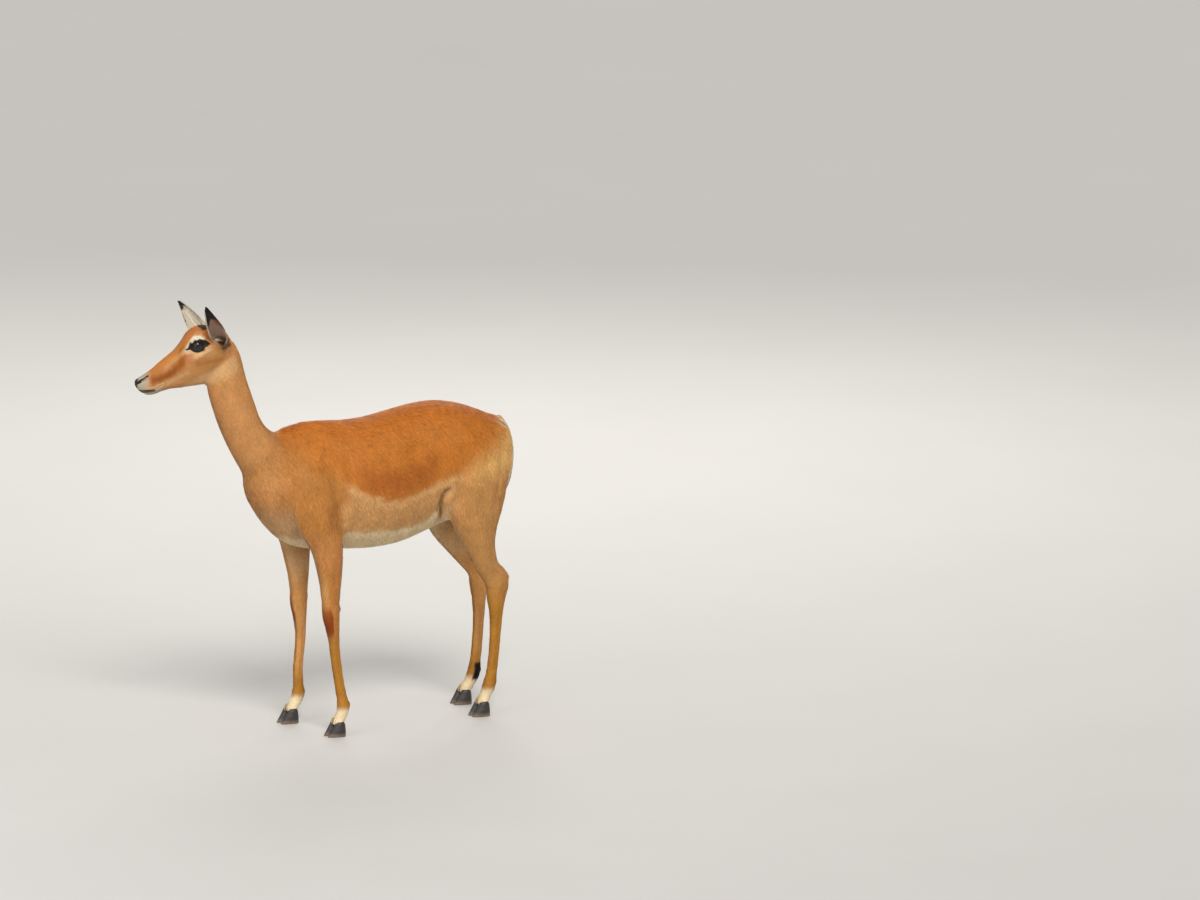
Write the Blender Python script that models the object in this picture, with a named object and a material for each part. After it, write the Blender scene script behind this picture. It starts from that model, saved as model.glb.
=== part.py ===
"""An impala ewe at life size, standing alert, her raised head turned a little to her right.

Metres. She faces -Y, her left side is at +X and her hooves stand on Z = 0. The body is lofted from
anatomical sections, fused and smoothed into one form, and then parted by thin cuts into head, neck, trunk
and legs. Ears, eyes, tail and hooves are solids of their own. Places are written as (ahead, left, up) from a
point on the ground under her loins, and the finished model is moved so that the middle of its footprint is
the origin.
"""

import math

import bmesh
import bpy
from mathutils import Vector

# Driving dimensions
GAP = 0.0005  # between neighbouring solids
HEAD_PITCH = math.radians(23)  # nose below the horizontal
HEAD_YAW = math.radians(15)  # towards her right
HEAD_ORIGIN = (0.607, -0.035, 1.074)  # midway between the eyes
EYE_RADIUS = 0.0198
EYE_APART = 0.0342  # from the head's middle plane to an eye's centre
HOOF_TOP = 0.034
FUSE_CELL = 0.0042
SKIN_TRIANGLES = 4700

# Trunk: ahead, top, bottom, height of the widest place, half width, fullness above, fullness below
TRUNK = (
    (-0.316, 0.768, 0.625, 0.705, 0.050, 2.0, 2.0),  # pin bones
    (-0.294, 0.785, 0.572, 0.690, 0.084, 2.0, 2.0),
    (-0.250, 0.808, 0.538, 0.690, 0.104, 2.0, 2.0),  # rump
    (-0.190, 0.833, 0.525, 0.690, 0.114, 2.1, 2.0),
    (-0.120, 0.850, 0.520, 0.690, 0.116, 2.2, 2.0),  # croup
    (-0.050, 0.851, 0.500, 0.670, 0.110, 2.2, 2.1),  # loins
    (0.020, 0.842, 0.482, 0.650, 0.119, 2.1, 2.2),
    (0.100, 0.830, 0.476, 0.640, 0.128, 2.0, 2.2),  # last ribs
    (0.180, 0.829, 0.480, 0.640, 0.121, 1.9, 2.1),
    (0.250, 0.836, 0.487, 0.645, 0.107, 1.7, 2.0),  # withers
    (0.310, 0.836, 0.496, 0.655, 0.096, 1.6, 1.9),
    (0.370, 0.822, 0.522, 0.665, 0.086, 1.7, 1.8),  # shoulders
    (0.420, 0.788, 0.572, 0.678, 0.070, 1.9, 1.9),
    (0.456, 0.750, 0.628, 0.688, 0.048, 2.0, 2.0),  # breast
)

# Neck: ahead, left, up, reach to the nape, reach to the throat, half width
NECK = (
    (0.345, 0.000, 0.690, 0.100, 0.108, 0.075),
    (0.413, -0.001, 0.755, 0.073, 0.080, 0.066),
    (0.458, -0.004, 0.820, 0.046, 0.072, 0.055),
    (0.492, -0.010, 0.890, 0.052, 0.067, 0.049),
    (0.515, -0.017, 0.960, 0.054, 0.062, 0.045),
    (0.530, -0.023, 1.020, 0.056, 0.054, 0.042),
    (0.541, -0.027, 1.060, 0.047, 0.042, 0.037),
)

# Head, from the poll to the nose: ahead of the eyes, top, bottom, height of the widest place, half width,
# fullness above, fullness below
HEAD = (
    (-0.088, -0.004, -0.060, -0.030, 0.029, 2.0, 2.0),
    (-0.070, 0.017, -0.088, -0.026, 0.042, 2.1, 1.8),
    (-0.045, 0.0310, -0.107, -0.018, 0.0490, 2.3, 1.7),
    (-0.020, 0.0370, -0.1170, -0.010, 0.0520, 2.4, 1.6),  # behind the eyes
    (0.005, 0.0345, -0.1200, -0.010, 0.0510, 2.4, 1.6),  # brow
    (0.030, 0.0240, -0.114, -0.020, 0.0458, 2.2, 1.6),
    (0.055, 0.0135, -0.1045, -0.033, 0.0388, 2.0, 1.7),  # cheek
    (0.080, 0.0060, -0.0960, -0.041, 0.0332, 1.9, 1.8),
    (0.105, 0.0012, -0.0865, -0.043, 0.0296, 1.9, 2.0),
    (0.130, -0.0060, -0.0815, -0.044, 0.0280, 2.0, 2.2),  # mouth
    (0.152, -0.0125, -0.0795, -0.044, 0.0270, 2.1, 2.2),
    (0.170, -0.0180, -0.0710, -0.042, 0.0243, 2.1, 2.1),  # nostrils
    (0.184, -0.0235, -0.0560, -0.039, 0.0180, 2.0, 2.0),
)

# Left legs: ahead, left, up, reach forward, reach back, half width
FORELEG = (
    (0.303, 0.058, 0.735, 0.055, 0.065, 0.032),  # shoulder blade
    (0.313, 0.072, 0.675, 0.070, 0.078, 0.038),
    (0.310, 0.080, 0.615, 0.070, 0.076, 0.042),
    (0.293, 0.084, 0.560, 0.058, 0.066, 0.040),  # elbow
    (0.278, 0.087, 0.515, 0.046, 0.051, 0.0365),
    (0.271, 0.090, 0.465, 0.0380, 0.0420, 0.0320),
    (0.268, 0.092, 0.410, 0.0300, 0.0325, 0.0265),
    (0.267, 0.093, 0.360, 0.0245, 0.0255, 0.0225),
    (0.266, 0.094, 0.328, 0.0235, 0.0235, 0.0225),  # knee
    (0.263, 0.094, 0.297, 0.0195, 0.0200, 0.0203),
    (0.259, 0.094, 0.265, 0.0158, 0.0175, 0.0165),
    (0.256, 0.095, 0.225, 0.0138, 0.0155, 0.0136),
    (0.246, 0.097, 0.150, 0.0134, 0.0150, 0.0130),
    (0.238, 0.099, 0.103, 0.0142, 0.0160, 0.0136),
    (0.234, 0.100, 0.074, 0.0168, 0.0192, 0.0170),  # fetlock
    (0.241, 0.101, 0.054, 0.0145, 0.0160, 0.0165),
    (0.252, 0.102, 0.040, 0.0160, 0.0180, 0.0215),
    (0.254, 0.102, 0.028, 0.0160, 0.0180, 0.0225),
)
HINDLEG = (
    (-0.165, 0.058, 0.745, 0.085, 0.105, 0.046),  # hip
    (-0.175, 0.067, 0.680, 0.100, 0.118, 0.052),
    (-0.180, 0.074, 0.610, 0.092, 0.100, 0.051),  # thigh
    (-0.182, 0.079, 0.555, 0.080, 0.082, 0.045),
    (-0.187, 0.081, 0.505, 0.062, 0.062, 0.037),  # stifle
    (-0.200, 0.082, 0.455, 0.046, 0.040, 0.0295),
    (-0.216, 0.082, 0.405, 0.034, 0.033, 0.0232),
    (-0.231, 0.082, 0.374, 0.029, 0.044, 0.0195),
    (-0.240, 0.082, 0.348, 0.026, 0.042, 0.0203),  # hock
    (-0.241, 0.081, 0.315, 0.0245, 0.031, 0.0195),
    (-0.242, 0.081, 0.283, 0.0190, 0.0230, 0.0162),
    (-0.241, 0.080, 0.230, 0.0152, 0.0178, 0.0138),
    (-0.236, 0.079, 0.160, 0.0142, 0.0165, 0.0130),
    (-0.229, 0.078, 0.108, 0.0146, 0.0170, 0.0136),
    (-0.222, 0.077, 0.078, 0.0165, 0.0198, 0.0168),  # fetlock
    (-0.214, 0.0765, 0.057, 0.0145, 0.0160, 0.0165),
    (-0.203, 0.076, 0.041, 0.0160, 0.0180, 0.0215),
    (-0.200, 0.076, 0.028, 0.0160, 0.0180, 0.0225),
)

# How far a right leg stands ahead of the left one, at these heights
RIGHT_FORE_LEAD = (
    (0.50, 0.0),
    (0.40, -0.006),
    (0.34, -0.008),
    (0.24, -0.003),
    (0.13, 0.016),
    (0.075, 0.025),
    (0.0, 0.030),
)
RIGHT_HIND_LEAD = ((0.52, 0.0), (0.34, -0.040), (0.075, -0.040), (0.0, -0.027))

# Tail: ahead, left, up, reach back, reach forward, half width
TAIL = (
    (-0.308, 0.0, 0.774, 0.012, 0.012, 0.013),
    (-0.322, 0.0, 0.747, 0.012, 0.011, 0.016),
    (-0.325, 0.0, 0.700, 0.011, 0.010, 0.018),
    (-0.314, 0.0, 0.640, 0.010, 0.009, 0.020),
    (-0.298, 0.0, 0.575, 0.010, 0.009, 0.021),
    (-0.285, 0.0, 0.515, 0.009, 0.008, 0.018),
    (-0.277, 0.0, 0.478, 0.005, 0.005, 0.010),
)

# Cuts that part the legs from the trunk: innermost place, height there, rise outwards, (low, high) ahead
FORE_CUT = (0.045, 0.508, 0.42, (0.205, 0.355))
HIND_CUT = (0.022, 0.535, 0.55, (-0.420, -0.088))

# One claw of a hoof, from the sole up: height, reach to the toe, reach to the heel, half width
CLAW = (
    (0.000, 0.0322, 0.0180, 0.0114),
    (0.004, 0.0320, 0.0184, 0.0120),
    (0.017, 0.0228, 0.0182, 0.0120),
    (HOOF_TOP - GAP, 0.0120, 0.0165, 0.0102),
)
CLAW_APART = 0.0133  # from the foot's middle plane to a claw's middle
CLAW_TOE_IN = math.radians(4)

# Ear: share of its length, half the leaf laid flat before and behind its middle, half the angle of its curl
EAR_LENGTH = 0.143
EAR_THICK = 0.0030
EAR = (
    (0.00, 0.0200, 0.0240, 2.20),
    (0.12, 0.0230, 0.0320, 1.70),
    (0.28, 0.0225, 0.0385, 1.25),
    (0.44, 0.0210, 0.0385, 1.00),
    (0.60, 0.0190, 0.0325, 0.85),
    (0.76, 0.0150, 0.0225, 0.70),
    (0.90, 0.0100, 0.0105, 0.50),
    (1.00, 0.0020, 0.0020, 0.30),
)
EAR_ROOT = (-0.058, 0.0440, -0.010)  # in the head's own directions
# Each ear's lean and the way it opens, as (ahead, outward, up) in the head's own directions
LEFT_EAR = ((0.08, 0.48, 0.87), (0.00, 0.87, -0.48))
RIGHT_EAR = ((0.25, 0.64, 0.72), (0.85, -0.45, 0.10))


def world(ahead, left, up):
    """The point or direction of a place written as (ahead, left, up)."""
    return Vector((left, -ahead, up))


HEAD_AHEAD = world(
    math.cos(HEAD_YAW) * math.cos(HEAD_PITCH),
    -math.sin(HEAD_YAW) * math.cos(HEAD_PITCH),
    -math.sin(HEAD_PITCH),
)
HEAD_LEFT = world(math.sin(HEAD_YAW), math.cos(HEAD_YAW), 0)
HEAD_UP = world(
    math.cos(HEAD_YAW) * math.sin(HEAD_PITCH),
    -math.sin(HEAD_YAW) * math.sin(HEAD_PITCH),
    math.cos(HEAD_PITCH),
)


def head_direction(ahead, left, up):
    """A direction written in the head's own directions."""
    return HEAD_AHEAD * ahead + HEAD_LEFT * left + HEAD_UP * up


def head_point(ahead, left, up):
    """A place written in the head's own directions from the middle of the eyes."""
    return world(*HEAD_ORIGIN) + head_direction(ahead, left, up)


def smoothed(rows, steps):
    """The rows with others between them, on a smooth curve through them all."""
    dense = []
    for i in range(len(rows) - 1):
        around = [rows[min(max(i + k, 0), len(rows) - 1)] for k in (-1, 0, 1, 2)]
        for step in range(steps):
            t = step / steps
            dense.append(
                tuple(
                    q + 0.5 * t * (r - p + t * (2 * p - 5 * q + 4 * r - s + t * (3 * (q - r) + s - p)))
                    for p, q, r, s in zip(*around, strict=True)
                )
            )
    dense.append(tuple(rows[-1]))
    return dense


def piecewise(knots, x):
    """The value at x of a line through (x, value) knots in falling order of x."""
    if x >= knots[0][0]:
        return knots[0][1]
    for (x0, y0), (x1, y1) in zip(knots, knots[1:], strict=False):
        if x >= x1:
            share = (x0 - x) / (x0 - x1)
            share = share * share * (3 - 2 * share)
            return y0 + (y1 - y0) * share
    return knots[-1][1]


def oval(centre, side, up, half, above, below, full_above=2.0, full_below=2.0, around=24):
    """A ring of points about centre: half wide, above and below tall, squarer than an ellipse past 2."""
    points = []
    for k in range(around):
        angle = 2 * math.pi * k / around
        c, s = math.cos(angle), math.sin(angle)
        power = 2 / (full_above if s >= 0 else full_below)
        reach = above if s >= 0 else below
        x = math.copysign(abs(c) ** power, c) * half
        y = math.copysign(abs(s) ** power, s) * reach
        points.append(centre + side * x + up * y)
    return points


def loft(name, rings, first_bulge, last_bulge):
    """A closed object through the rings, each end a fan to a point that stands off by its bulge."""
    mesh = bmesh.new()
    loops = [[mesh.verts.new(point) for point in ring] for ring in rings]
    count = len(loops[0])
    for a, b in zip(loops, loops[1:], strict=False):
        for k in range(count):
            mesh.faces.new((a[k], a[(k + 1) % count], b[(k + 1) % count], b[k]))
    for end, inner, bulge in ((0, 1, first_bulge), (-1, -2, last_bulge)):
        middle = sum(rings[end], Vector()) / count
        outward = (middle - sum(rings[inner], Vector()) / count).normalized()
        pole = mesh.verts.new(middle + outward * bulge)
        for k in range(count):
            mesh.faces.new((loops[end][k], loops[end][(k + 1) % count], pole))
    bmesh.ops.recalc_face_normals(mesh, faces=mesh.faces)
    data = bpy.data.meshes.new(name)
    mesh.to_mesh(data)
    mesh.free()
    made = bpy.data.objects.new(name, data)
    bpy.context.scene.collection.objects.link(made)
    return made


def profile_rings(rows, place, side, up, steps, around):
    """Rings square to a straight part, from rows like those of TRUNK."""
    return [
        oval(place(ahead, 0, widest), side, up, half, top - widest, widest - bottom, over, under, around)
        for ahead, top, bottom, widest, half, over, under in smoothed(rows, steps)
    ]


def limb_rings(rows, facing, steps, around):
    """Rings square to a bent part, from rows of (ahead, left, up, reach to facing, away, half width)."""
    dense = smoothed(rows, steps)
    centres = [world(*row[:3]) for row in dense]
    rings = []
    for i, row in enumerate(dense):
        along = (centres[min(i + 1, len(dense) - 1)] - centres[max(i - 1, 0)]).normalized()
        up = (facing - along * facing.dot(along)).normalized()
        rings.append(oval(centres[i], up.cross(along), up, row[5], row[3], row[4], around=around))
    return rings


def led(rows, lead):
    """A left leg's rows as the right leg's, moved ahead by lead at each height."""
    return [(row[0] + piecewise(lead, row[2]), -row[1], *row[2:]) for row in rows]


def evaluated_mesh(made):
    """The mesh of an object with its modifiers applied."""
    return bpy.data.meshes.new_from_object(made.evaluated_get(bpy.context.evaluated_depsgraph_get()))


def applied(made):
    """The object with its modifiers applied."""
    bpy.context.view_layer.update()
    made.data = evaluated_mesh(made)
    made.modifiers.clear()
    return made


def joined(name, parts):
    """One object that holds the meshes of the parts, which are removed."""
    mesh = bmesh.new()
    for part in parts:
        mesh.from_mesh(part.data)
        bpy.data.objects.remove(part)
    data = bpy.data.meshes.new(name)
    mesh.to_mesh(data)
    mesh.free()
    made = bpy.data.objects.new(name, data)
    bpy.context.scene.collection.objects.link(made)
    return made


def blend_weight(point):
    """How much the fused form is smoothed at a point: most where limbs and head grow from the body."""
    leg_top = min(max((point.z - 0.43) / 0.10, 0), 1)
    from_eyes = (point - world(*HEAD_ORIGIN)).dot(HEAD_AHEAD)
    face = min(max((from_eyes + 0.075) / 0.03, 0), 1)
    return leg_top * (1 - 0.85 * face if from_eyes > -0.1 and point.z > 0.9 else 1) + 0.08


def fused_body():
    """Trunk, neck, head and legs as one smooth closed mesh, hidden, from which the nodes are cut."""
    back, front, up, left = world(-1, 0, 0), world(1, 0, 0), world(0, 0, 1), world(0, 1, 0)
    parts = [
        loft("trunk_form", profile_rings(TRUNK, world, left, up, 3, 32), 0.012, 0.025),
        loft("neck_form", limb_rings(NECK, back, 4, 24), 0.01, 0.02),
        loft("head_form", profile_rings(HEAD, head_point, HEAD_LEFT, HEAD_UP, 3, 28), 0.008, 0.006),
    ]
    for rows, lead in ((FORELEG, RIGHT_FORE_LEAD), (HINDLEG, RIGHT_HIND_LEAD)):
        for leg in (rows, led(rows, lead)):
            parts.append(loft("leg_form", limb_rings(leg, front, 3, 20), 0.01, 0.0))
    body = joined("body_form", parts)
    fuse = body.modifiers.new("fuse", "REMESH")
    fuse.mode = "VOXEL"
    fuse.voxel_size = FUSE_CELL
    applied(body)
    group = body.vertex_groups.new(name="blend")
    for vertex in body.data.vertices:
        group.add([vertex.index], blend_weight(vertex.co), "REPLACE")
    smooth = body.modifiers.new("smooth", "SMOOTH")
    smooth.factor = 0.6
    smooth.iterations = 22
    smooth.vertex_group = group.name
    thin = body.modifiers.new("thin", "DECIMATE")
    triangles = sum(len(face.vertices) - 2 for face in body.data.polygons)
    thin.ratio = SKIN_TRIANGLES / triangles
    applied(body)
    body.vertex_groups.clear()
    return as_cutter(body)


def as_cutter(made):
    """The object as a helper, which is neither rendered nor a node."""
    made.hide_render = True
    made.display_type = "WIRE"
    return made


def block(name, corners):
    """A cutter with six flat sides, from its corners: low and high each way, the last way changing first."""
    mesh = bmesh.new()
    points = [mesh.verts.new(corner) for corner in corners]
    for face in ((0, 1, 3, 2), (4, 6, 7, 5), (0, 4, 5, 1), (2, 3, 7, 6), (0, 2, 6, 4), (1, 5, 7, 3)):
        mesh.faces.new([points[k] for k in face])
    bmesh.ops.recalc_face_normals(mesh, faces=mesh.faces)
    data = bpy.data.meshes.new(name)
    mesh.to_mesh(data)
    mesh.free()
    made = bpy.data.objects.new(name, data)
    bpy.context.scene.collection.objects.link(made)
    return as_cutter(made)


def slab(name, centre, along, low, high):
    """A wide cutter that holds what lies between low and high along a direction."""
    side = along.orthogonal().normalized()
    over = side.cross(along)
    corners = []
    for a in (low, high):
        for b in (-1, 1):
            corners += [centre + along * a + side * b + over * c for c in (-1, 1)]
    return block(name, corners)


def leg_region(name, side, inner, top, rise, reach, grow):
    """A cutter round one leg, whose top rises outwards from the armpit or groin. It is larger by grow."""
    corners = []
    for ahead in (reach[0] - grow, reach[1] + grow):
        for left in (inner - grow, 0.2):
            for up in (-0.1, top + rise * (left - inner) + grow * math.hypot(1, rise)):
                corners.append(world(ahead, side * left, up))
    return block(name, corners)


def cut(made, cutter, operation):
    """Adds a Boolean with the cutter."""
    modifier = made.modifiers.new(operation.lower(), "BOOLEAN")
    modifier.operation = operation
    modifier.solver = "EXACT"
    modifier.object = cutter
    return made


def finish(name, colour, roughness):
    """A plain finish for one sub-part."""
    material = bpy.data.materials.new(name)
    material.use_nodes = True
    shader = material.node_tree.nodes["Principled BSDF"]
    shader.inputs["Base Color"].default_value = (*colour, 1)
    shader.inputs["Roughness"].default_value = roughness
    shader.inputs["Metallic"].default_value = 0
    return material


def dress(made, material):
    """Gives an object its finish."""
    made.data.materials.clear()
    made.data.materials.append(material)
    return made


def flesh(name, body, keep, take, material):
    """A node of the body: what lies in every keep cutter and in no take cutter."""
    made = bpy.data.objects.new(name, body.data.copy())
    bpy.context.scene.collection.objects.link(made)
    for cutter in keep:
        cut(made, cutter, "INTERSECT")
    for cutter in take:
        cut(made, cutter, "DIFFERENCE")
    return dress(made, material)


def ear_directions(side, lean, opening):
    """An ear's root, and unit directions along it, out of its opening and towards its hind edge."""
    along = head_direction(lean[0], side * lean[1], lean[2]).normalized()
    out = head_direction(opening[0], side * opening[1], opening[2])
    out = (out - along * out.dot(along)).normalized()
    root = head_point(EAR_ROOT[0], side * EAR_ROOT[1], EAR_ROOT[2])
    return root, along, out, along.cross(out) * side


def ear(name, side, lean, opening):
    """A cupped leaf. side is 1 for the left ear and -1 for the right."""
    root, along, out, behind = ear_directions(side, lean, opening)
    mesh = bmesh.new()
    columns = 9
    rows = []
    for share, before, after, curl in EAR:
        row = []
        for k in range(columns):
            turn = 2 * k / (columns - 1) - 1
            radius = (before if turn < 0 else after) / curl
            place = root + along * (EAR_LENGTH * share)
            place += behind * (radius * math.sin(turn * curl))
            row.append(mesh.verts.new(place + out * (radius * (1 - math.cos(turn * curl)))))
        rows.append(row)
    for a, b in zip(rows, rows[1:], strict=False):
        for k in range(columns - 1):
            mesh.faces.new((a[k], a[k + 1], b[k + 1], b[k]))
    data = bpy.data.meshes.new(name)
    mesh.to_mesh(data)
    mesh.free()
    made = bpy.data.objects.new(name, data)
    bpy.context.scene.collection.objects.link(made)
    wall = made.modifiers.new("wall", "SOLIDIFY")
    wall.thickness = EAR_THICK
    wall.offset = 0
    return made


def ear_seat(name, side, lean, opening):
    """A cutter for the round seat of an ear's root in the head."""
    root, along, out, behind = ear_directions(side, lean, opening)
    rings = []
    for i, (share, _, after, curl) in enumerate(EAR[:4]):
        radius = after / curl
        place = EAR_LENGTH * share - EAR_THICK * (i == 0)
        reach = radius + EAR_THICK
        rings.append(oval(root + along * place + out * radius, behind, out, reach, reach, reach, around=20))
    return as_cutter(loft(name, rings, 0.0, 0.0))


def eyeball(name, side, radius):
    """An eye at its place in the head."""
    mesh = bmesh.new()
    bmesh.ops.create_uvsphere(mesh, u_segments=14, v_segments=9, radius=radius)
    data = bpy.data.meshes.new(name)
    mesh.to_mesh(data)
    mesh.free()
    for face in data.polygons:
        face.use_smooth = True
    made = bpy.data.objects.new(name, data)
    made.location = head_point(0, side * EYE_APART, 0)
    bpy.context.scene.collection.objects.link(made)
    return made


def lid_opening(name, side):
    """A cutter for the opening between the lids, wider than it is tall."""
    made = eyeball(name, side, 1.0)
    made.rotation_mode = "QUATERNION"
    made.rotation_quaternion = HEAD_AHEAD.to_track_quat("X", "Z")
    made.scale = (0.0200, 0.030, 0.0142)
    made.location = head_point(0, side * (EYE_APART + 0.012), 0)
    return as_cutter(made)


def claw(name, foot, side):
    """One claw of the hoof under a foot's last row."""
    ahead = world(math.cos(CLAW_TOE_IN), -side * math.sin(CLAW_TOE_IN), 0)
    across = world(side * math.sin(CLAW_TOE_IN), math.cos(CLAW_TOE_IN), 0)
    rings = []
    for height, toe, heel, half in CLAW:
        centre = world(foot[0], foot[1] + side * CLAW_APART, height)
        rings.append(oval(centre, across, ahead, half, toe, heel, 1.6, 2.3, 12))
    return loft(name, rings, 0.0, 0.0)


def tail(name, grow):
    """The tail, hanging between the buttocks, with every reach larger by grow."""
    rows = [(*row[:3], *(reach + grow for reach in row[3:])) for row in TAIL]
    return loft(name, limb_rings(rows, world(-1, 0, 0), 2, 8), 0.004 + grow, 0.008 + grow)


def standing_on(made_list):
    """Moves the model so that the middle of its footprint is the origin."""
    bpy.context.view_layer.update()
    low, high = Vector((1e9, 1e9, 1e9)), Vector((-1e9, -1e9, -1e9))
    for made in made_list:
        for vertex in evaluated_mesh(made).vertices:
            point = made.matrix_world @ vertex.co
            low = Vector(map(min, low, point))
            high = Vector(map(max, high, point))
    move = Vector((-(low.x + high.x) / 2, -(low.y + high.y) / 2, 0))
    for made in bpy.data.objects:
        made.location += move


def build_head(body, neck_cut, material):
    """The head, its eyes and its ears."""
    takes, pieces = [], []
    eye_finish = finish("eye", (0.02, 0.012, 0.008), 0.08)
    ear_finish = finish("ear", (0.52, 0.34, 0.20), 0.8)
    for side, word, (lean, opening) in ((1, "left", LEFT_EAR), (-1, "right", RIGHT_EAR)):
        pieces.append(dress(eyeball(f"eye_{word}", side, EYE_RADIUS), eye_finish))
        takes.append(as_cutter(eyeball(f"socket_{word}", side, EYE_RADIUS + GAP)))
        takes.append(lid_opening(f"lids_{word}", side))
        pieces.append(dress(ear(f"ear_{word}", side, lean, opening), ear_finish))
        takes.append(ear_seat(f"ear_seat_{word}", side, lean, opening))
    pieces.append(flesh("head", body, [neck_cut], takes, material))
    return pieces


def build_legs(body, material, hoof_finish):
    """The four legs with their hooves, and the cutters that part them from the trunk."""
    pieces, takes = [], []
    floor_cut = slab("hoof_level", world(0, 0, HOOF_TOP), world(0, 0, 1), -0.2, 0)
    plans = (
        ("fore", FORELEG, RIGHT_FORE_LEAD, FORE_CUT),
        ("hind", HINDLEG, RIGHT_HIND_LEAD, HIND_CUT),
    )
    for end, rows, lead, seam in plans:
        for side, word in ((1, "left"), (-1, "right")):
            name = f"leg_{end}_{word}"
            keep = leg_region(f"{name}_region", side, *seam, 0.0)
            takes.append(leg_region(f"{name}_clear", side, *seam, GAP))
            pieces.append(flesh(name, body, [keep], [floor_cut], material))
            foot = rows[-1] if side == 1 else led(rows, lead)[-1]
            for claw_side, claw_word in ((side, "outer"), (-side, "inner")):
                piece = claw(f"hoof_{end}_{word}_{claw_word}", foot, claw_side)
                pieces.append(dress(piece, hoof_finish))
    return pieces, takes


def main():
    """Builds every node and stands the model on its origin."""
    for old in list(bpy.data.objects):
        bpy.data.objects.remove(old)
    coat = finish("coat", (0.56, 0.24, 0.075), 0.75)
    body = fused_body()

    head_place, head_along = world(0.548, -0.025, 1.032), world(0.72, -0.15, 0.42).normalized()
    base_place, base_along = world(0.415, 0, 0.755), world(0.80, 0, 0.60).normalized()
    head_side = slab("head_side", head_place, head_along, GAP / 2, 0.4)
    below_head = slab("below_head", head_place, head_along, -0.4, -GAP / 2)
    above_base = slab("above_base", base_place, base_along, GAP / 2, 0.5)
    trunk_side = slab("trunk_side", base_place, base_along, -1.4, -GAP / 2)

    pieces = build_head(body, head_side, coat)
    pieces.append(flesh("neck", body, [below_head, above_base], [], coat))
    legs, leg_takes = build_legs(body, coat, finish("hoof", (0.035, 0.028, 0.024), 0.45))
    pieces += legs
    tail_seat = as_cutter(tail("tail_seat", GAP))
    pieces.append(flesh("trunk", body, [trunk_side], [*leg_takes, tail_seat], coat))
    pieces.append(dress(tail("tail", 0.0), finish("tail", (0.75, 0.66, 0.52), 0.8)))
    for piece in pieces:
        for face in piece.data.polygons:
            face.use_smooth = True
    standing_on(pieces)


main()
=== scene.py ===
"""The looks of a life-size impala ewe: one skin over the flesh, a short coat in solid tufts, eyes and hooves.

Metres, +Z up. Places on the body are written as (ahead, left, up) from a point on the ground under her
loins, and places on the head as (ahead, left, up) from the middle between the eyes, along the head itself.
Every left and right pair is written once, for the left side.
"""

import logging
import math
from collections.abc import Callable, Sequence
from dataclasses import dataclass, field
from enum import Enum
from functools import partial

import bmesh
import bpy
import numpy as np
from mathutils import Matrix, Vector


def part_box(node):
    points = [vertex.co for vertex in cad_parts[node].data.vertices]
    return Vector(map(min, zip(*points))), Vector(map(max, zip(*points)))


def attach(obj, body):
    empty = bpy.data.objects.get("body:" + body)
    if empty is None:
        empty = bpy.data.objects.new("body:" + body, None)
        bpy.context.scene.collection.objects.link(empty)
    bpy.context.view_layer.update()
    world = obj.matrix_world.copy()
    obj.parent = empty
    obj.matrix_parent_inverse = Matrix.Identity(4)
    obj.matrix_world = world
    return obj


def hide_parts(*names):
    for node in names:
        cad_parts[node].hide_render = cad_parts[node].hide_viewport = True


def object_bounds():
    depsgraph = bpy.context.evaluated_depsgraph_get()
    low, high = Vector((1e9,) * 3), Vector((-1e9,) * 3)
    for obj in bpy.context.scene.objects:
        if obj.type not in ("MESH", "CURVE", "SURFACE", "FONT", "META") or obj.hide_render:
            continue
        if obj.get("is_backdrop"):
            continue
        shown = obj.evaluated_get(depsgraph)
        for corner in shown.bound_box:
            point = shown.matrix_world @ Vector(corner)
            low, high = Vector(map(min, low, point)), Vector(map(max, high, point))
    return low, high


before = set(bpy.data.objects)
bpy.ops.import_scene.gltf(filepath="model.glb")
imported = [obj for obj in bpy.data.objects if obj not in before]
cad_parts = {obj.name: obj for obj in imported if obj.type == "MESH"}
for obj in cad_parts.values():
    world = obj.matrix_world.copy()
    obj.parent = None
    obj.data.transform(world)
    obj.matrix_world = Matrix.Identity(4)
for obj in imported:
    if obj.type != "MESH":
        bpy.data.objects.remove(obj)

Array = np.ndarray
Row = tuple[float, ...]
Random = np.random.Generator
Object = bpy.types.Object
Mesh = bpy.types.Mesh
Material = bpy.types.Material
Socket = bpy.types.NodeSocket
log = logging.getLogger("impala")

CAD_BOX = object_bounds()
BAKE_MAP = "OFBake"
COAT_SEED = 20
TRUNK_END = -0.3214  # how far ahead the hindmost point of the trunk is
HEAD_PITCH = math.radians(23)
LOWER_LEG_TOP = 0.44
FLESH = ("head", "neck", "trunk", "leg_fore_left", "leg_fore_right", "leg_hind_left", "leg_hind_right")


class Side(Enum):
    """A side of the animal, with the sign of its left coordinate."""

    LEFT = 1
    RIGHT = -1

    @property
    def word(self) -> str:
        """The side's name as the nodes spell it."""
        return self.name.lower()


class End(Enum):
    """The fore or the hind end."""

    FORE = "fore"
    HIND = "hind"


def unit(vectors: Array) -> Array:
    """The same directions at length one, for one vector or one on each row."""
    size = np.linalg.norm(vectors, axis=-1, keepdims=True)
    return vectors / np.maximum(size, 1e-12)


def ease(low: float | Array, high: float | Array, value: Array) -> Array:
    """A smooth step over values, from 0 at low to 1 at high, which may be below low for a step down."""
    share = np.clip((value - low) / (high - low), 0, 1)
    return share * share * (3 - 2 * share)


def bell(distance: Array, reach: float | Array) -> Array:
    """A round hump that is 1 at no distance and dies out a little past its reach."""
    return np.exp(-((distance / reach) ** 2))


def through(knots: Sequence[tuple[float, float]], value: Array) -> Array:
    """Values of a line through (place, value) knots, in rising order of place."""
    places, heights = zip(*knots, strict=True)
    return np.interp(value, places, heights)


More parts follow.
